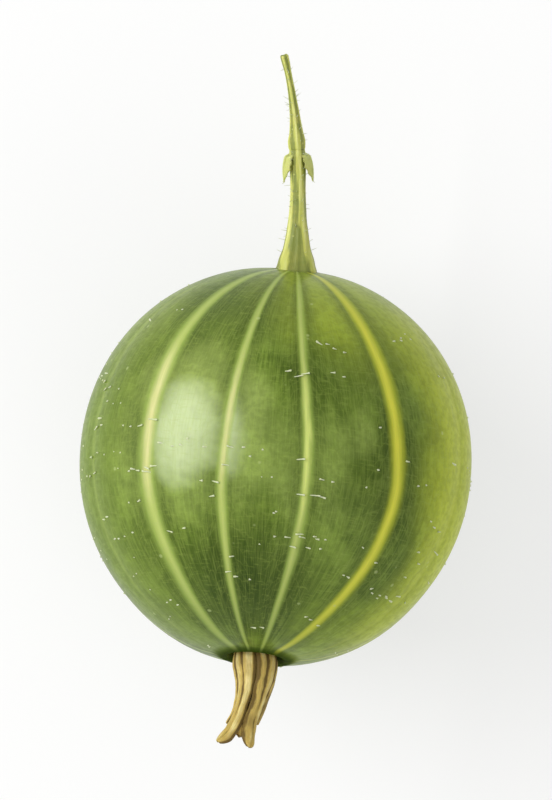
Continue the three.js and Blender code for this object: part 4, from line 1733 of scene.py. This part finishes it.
@dataclass
class Studio:
    """A plain pale floor, plain soft light and the camera that looks down on the fruit."""

    floor_size: float = 1.2
    floor_colour: Colour = (0.84, 0.84, 0.83, 1.0)
    floor_seen: Colour = (0.38, 0.38, 0.377, 1.0)
    floor_glow: float = 0.6
    world_light: float = 0.58
    view_height: float = 0.051  # what the frame takes in, from its foot to its top
    lens: float = 200.0
    roll: float = 5.9
    shift: float = 0.0004  # of the camera to the left of the object's middle
    lamps: tuple[SoftBox, ...] = (
        SoftBox("key", (-0.77, 0.2, 0.6), 0.5, 0.19, 0.44, 1.8),
        SoftBox("fill", (0.6, -0.6, 0.6), 0.5, 0.4, 0.4, 0.4),
    )

    def build_floor(self) -> None:
        """Lays the floor."""
        material, graph, shader = new_material("pale_floor")
        light = graph.node("ShaderNodeLightPath")
        seen = graph.sum("MAXIMUM", light.outputs["Is Camera Ray"], light.outputs["Is Glossy Ray"])
        graph.feed(shader.inputs["Base Color"], graph.mix(seen, self.floor_colour, self.floor_seen))
        shader.inputs["Roughness"].default_value = 0.9
        shader.inputs["Specular IOR Level"].default_value = 0.1
        shader.inputs["Emission Color"].default_value = (1, 1, 1, 1)
        graph.feed(shader.inputs["Emission Strength"], graph.sum("MULTIPLY", seen, self.floor_glow))
        half = self.floor_size / 2
        mesh = bpy.data.meshes.new("floor")
        corners = [(-half, -half, 0), (half, -half, 0), (half, half, 0), (-half, half, 0)]
        mesh.from_pydata(corners, [], [(0, 1, 2, 3)])
        mesh.materials.append(material)
        floor = bpy.data.objects.new("floor", mesh)
        floor.location.z = -0.02 * MM
        bpy.context.scene.collection.objects.link(floor)
        floor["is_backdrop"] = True

    def build_world(self) -> None:
        """Surrounds the scene with plain light, white to the eye and softer on the fruit."""
        world = bpy.data.worlds.new("studio")
        world.use_nodes = True
        bpy.context.scene.world = world
        graph = Graph(world.node_tree)
        light = graph.node("ShaderNodeLightPath")
        seen = graph.sum("MAXIMUM", light.outputs["Is Camera Ray"], light.outputs["Is Glossy Ray"])
        seen = graph.sum("MAXIMUM", seen, light.outputs["Is Transmission Ray"])
        background = next(node for node in world.node_tree.nodes if node.type == "BACKGROUND")
        background.inputs["Color"].default_value = (1, 1, 1, 1)
        strength = graph.sum("MULTIPLY_ADD", seen, 1 - self.world_light, self.world_light)
        graph.feed(background.inputs["Strength"], strength)

    def build_camera(self, low: Vector, high: Vector) -> None:
        """Hangs the camera over the middle of the object.

        Args:
            low: The object's lowest corner, in metres.
            high: Its highest corner.
        """
        data = bpy.data.cameras.new("camera")
        data.lens = self.lens
        camera = bpy.data.objects.new("camera", data)
        middle = (low + high) / 2
        distance = self.view_height * self.lens / data.sensor_width
        camera.location = (middle.x - self.shift, middle.y, high.z / 2 + distance)
        camera.rotation_euler = (0, 0, math.radians(self.roll))
        bpy.context.scene.collection.objects.link(camera)
        bpy.context.scene.camera = camera

    def build(self, low: Vector, high: Vector) -> None:
        """Builds the whole studio round the object.

        Args:
            low: The object's lowest corner, in metres.
            high: Its highest corner.
        """
        self.build_floor()
        self.build_world()
        self.build_camera(low, high)
        target = Vector((0, 0, high.z / 2))
        for lamp in self.lamps:
            lamp.build(target)
        bpy.context.scene.view_settings.view_transform = "Standard"


# ---- All of it -------------------------------------------------------------------------------------


def main() -> None:
    """Builds and dresses the gooseberry, and sets up the studio round it."""
    logging.basicConfig(level=logging.INFO, format="%(name)s: %(message)s")
    solid_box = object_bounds()
    low, high = (Vector(corner) for corner in solid_box)
    effects = Effects()

    fruit = Fruit()
    skin = SkinFinish().build(effects)
    bristle = GreenFinish(
        name="glassy_bristle",
        hollow=srgb(186, 200, 140),
        body=srgb(212, 222, 176),
        ridge=srgb(232, 236, 206),
        blush=srgb(224, 228, 190),
    ).build(effects)
    fruit.build_skin(skin)
    fruit.build_bristles(bristle)

    stalk = Stalk(fruit)
    green = GreenFinish(
        name="green_stalk",
        hollow=srgb(128, 138, 54),
        body=srgb(194, 198, 92),
        ridge=srgb(222, 224, 136),
        blush=srgb(196, 186, 92),
    ).build(effects)
    scale = GreenFinish(
        name="green_bract",
        hollow=srgb(142, 150, 66),
        body=srgb(196, 204, 112),
        ridge=srgb(228, 230, 158),
        blush=srgb(204, 190, 108),
    ).build(effects)
    stalk.build_pedicel(green)
    stalk.build_peduncle(green)
    stalk.build_bract("bract_left", -1, scale)
    stalk.build_bract("bract_right", 1, scale)
    stalk.build_hairs(bristle)

    flower = WitheredFlower(fruit)
    dry = DryFinish(
        name="dry_calyx",
        fold=srgb(102, 80, 16),
        body=srgb(200, 173, 88),
        ridge=srgb(230, 212, 140),
        stain=srgb(148, 124, 58),
    ).build(effects)
    petal = DryFinish(
        name="dry_petal",
        fold=srgb(84, 58, 24),
        body=srgb(190, 160, 104),
        ridge=srgb(226, 206, 158),
        stain=srgb(140, 104, 54),
    ).build(effects)
    thread = DryFinish(
        name="dry_thread",
        fold=srgb(42, 26, 10),
        body=srgb(122, 86, 40),
        ridge=srgb(168, 130, 74),
        stain=srgb(84, 56, 24),
    ).build(effects)
    flower.build_tube(dry)
    for number in range(1, flower.parts + 1):
        flower.build_sepal(number, dry)
        flower.build_petal(number, petal)
        flower.build_stamen(number, thread)
    flower.build_style(thread)

    Studio().build(low, high)
    bpy.context.view_layer.update()


if __name__ == "__main__":
    main()
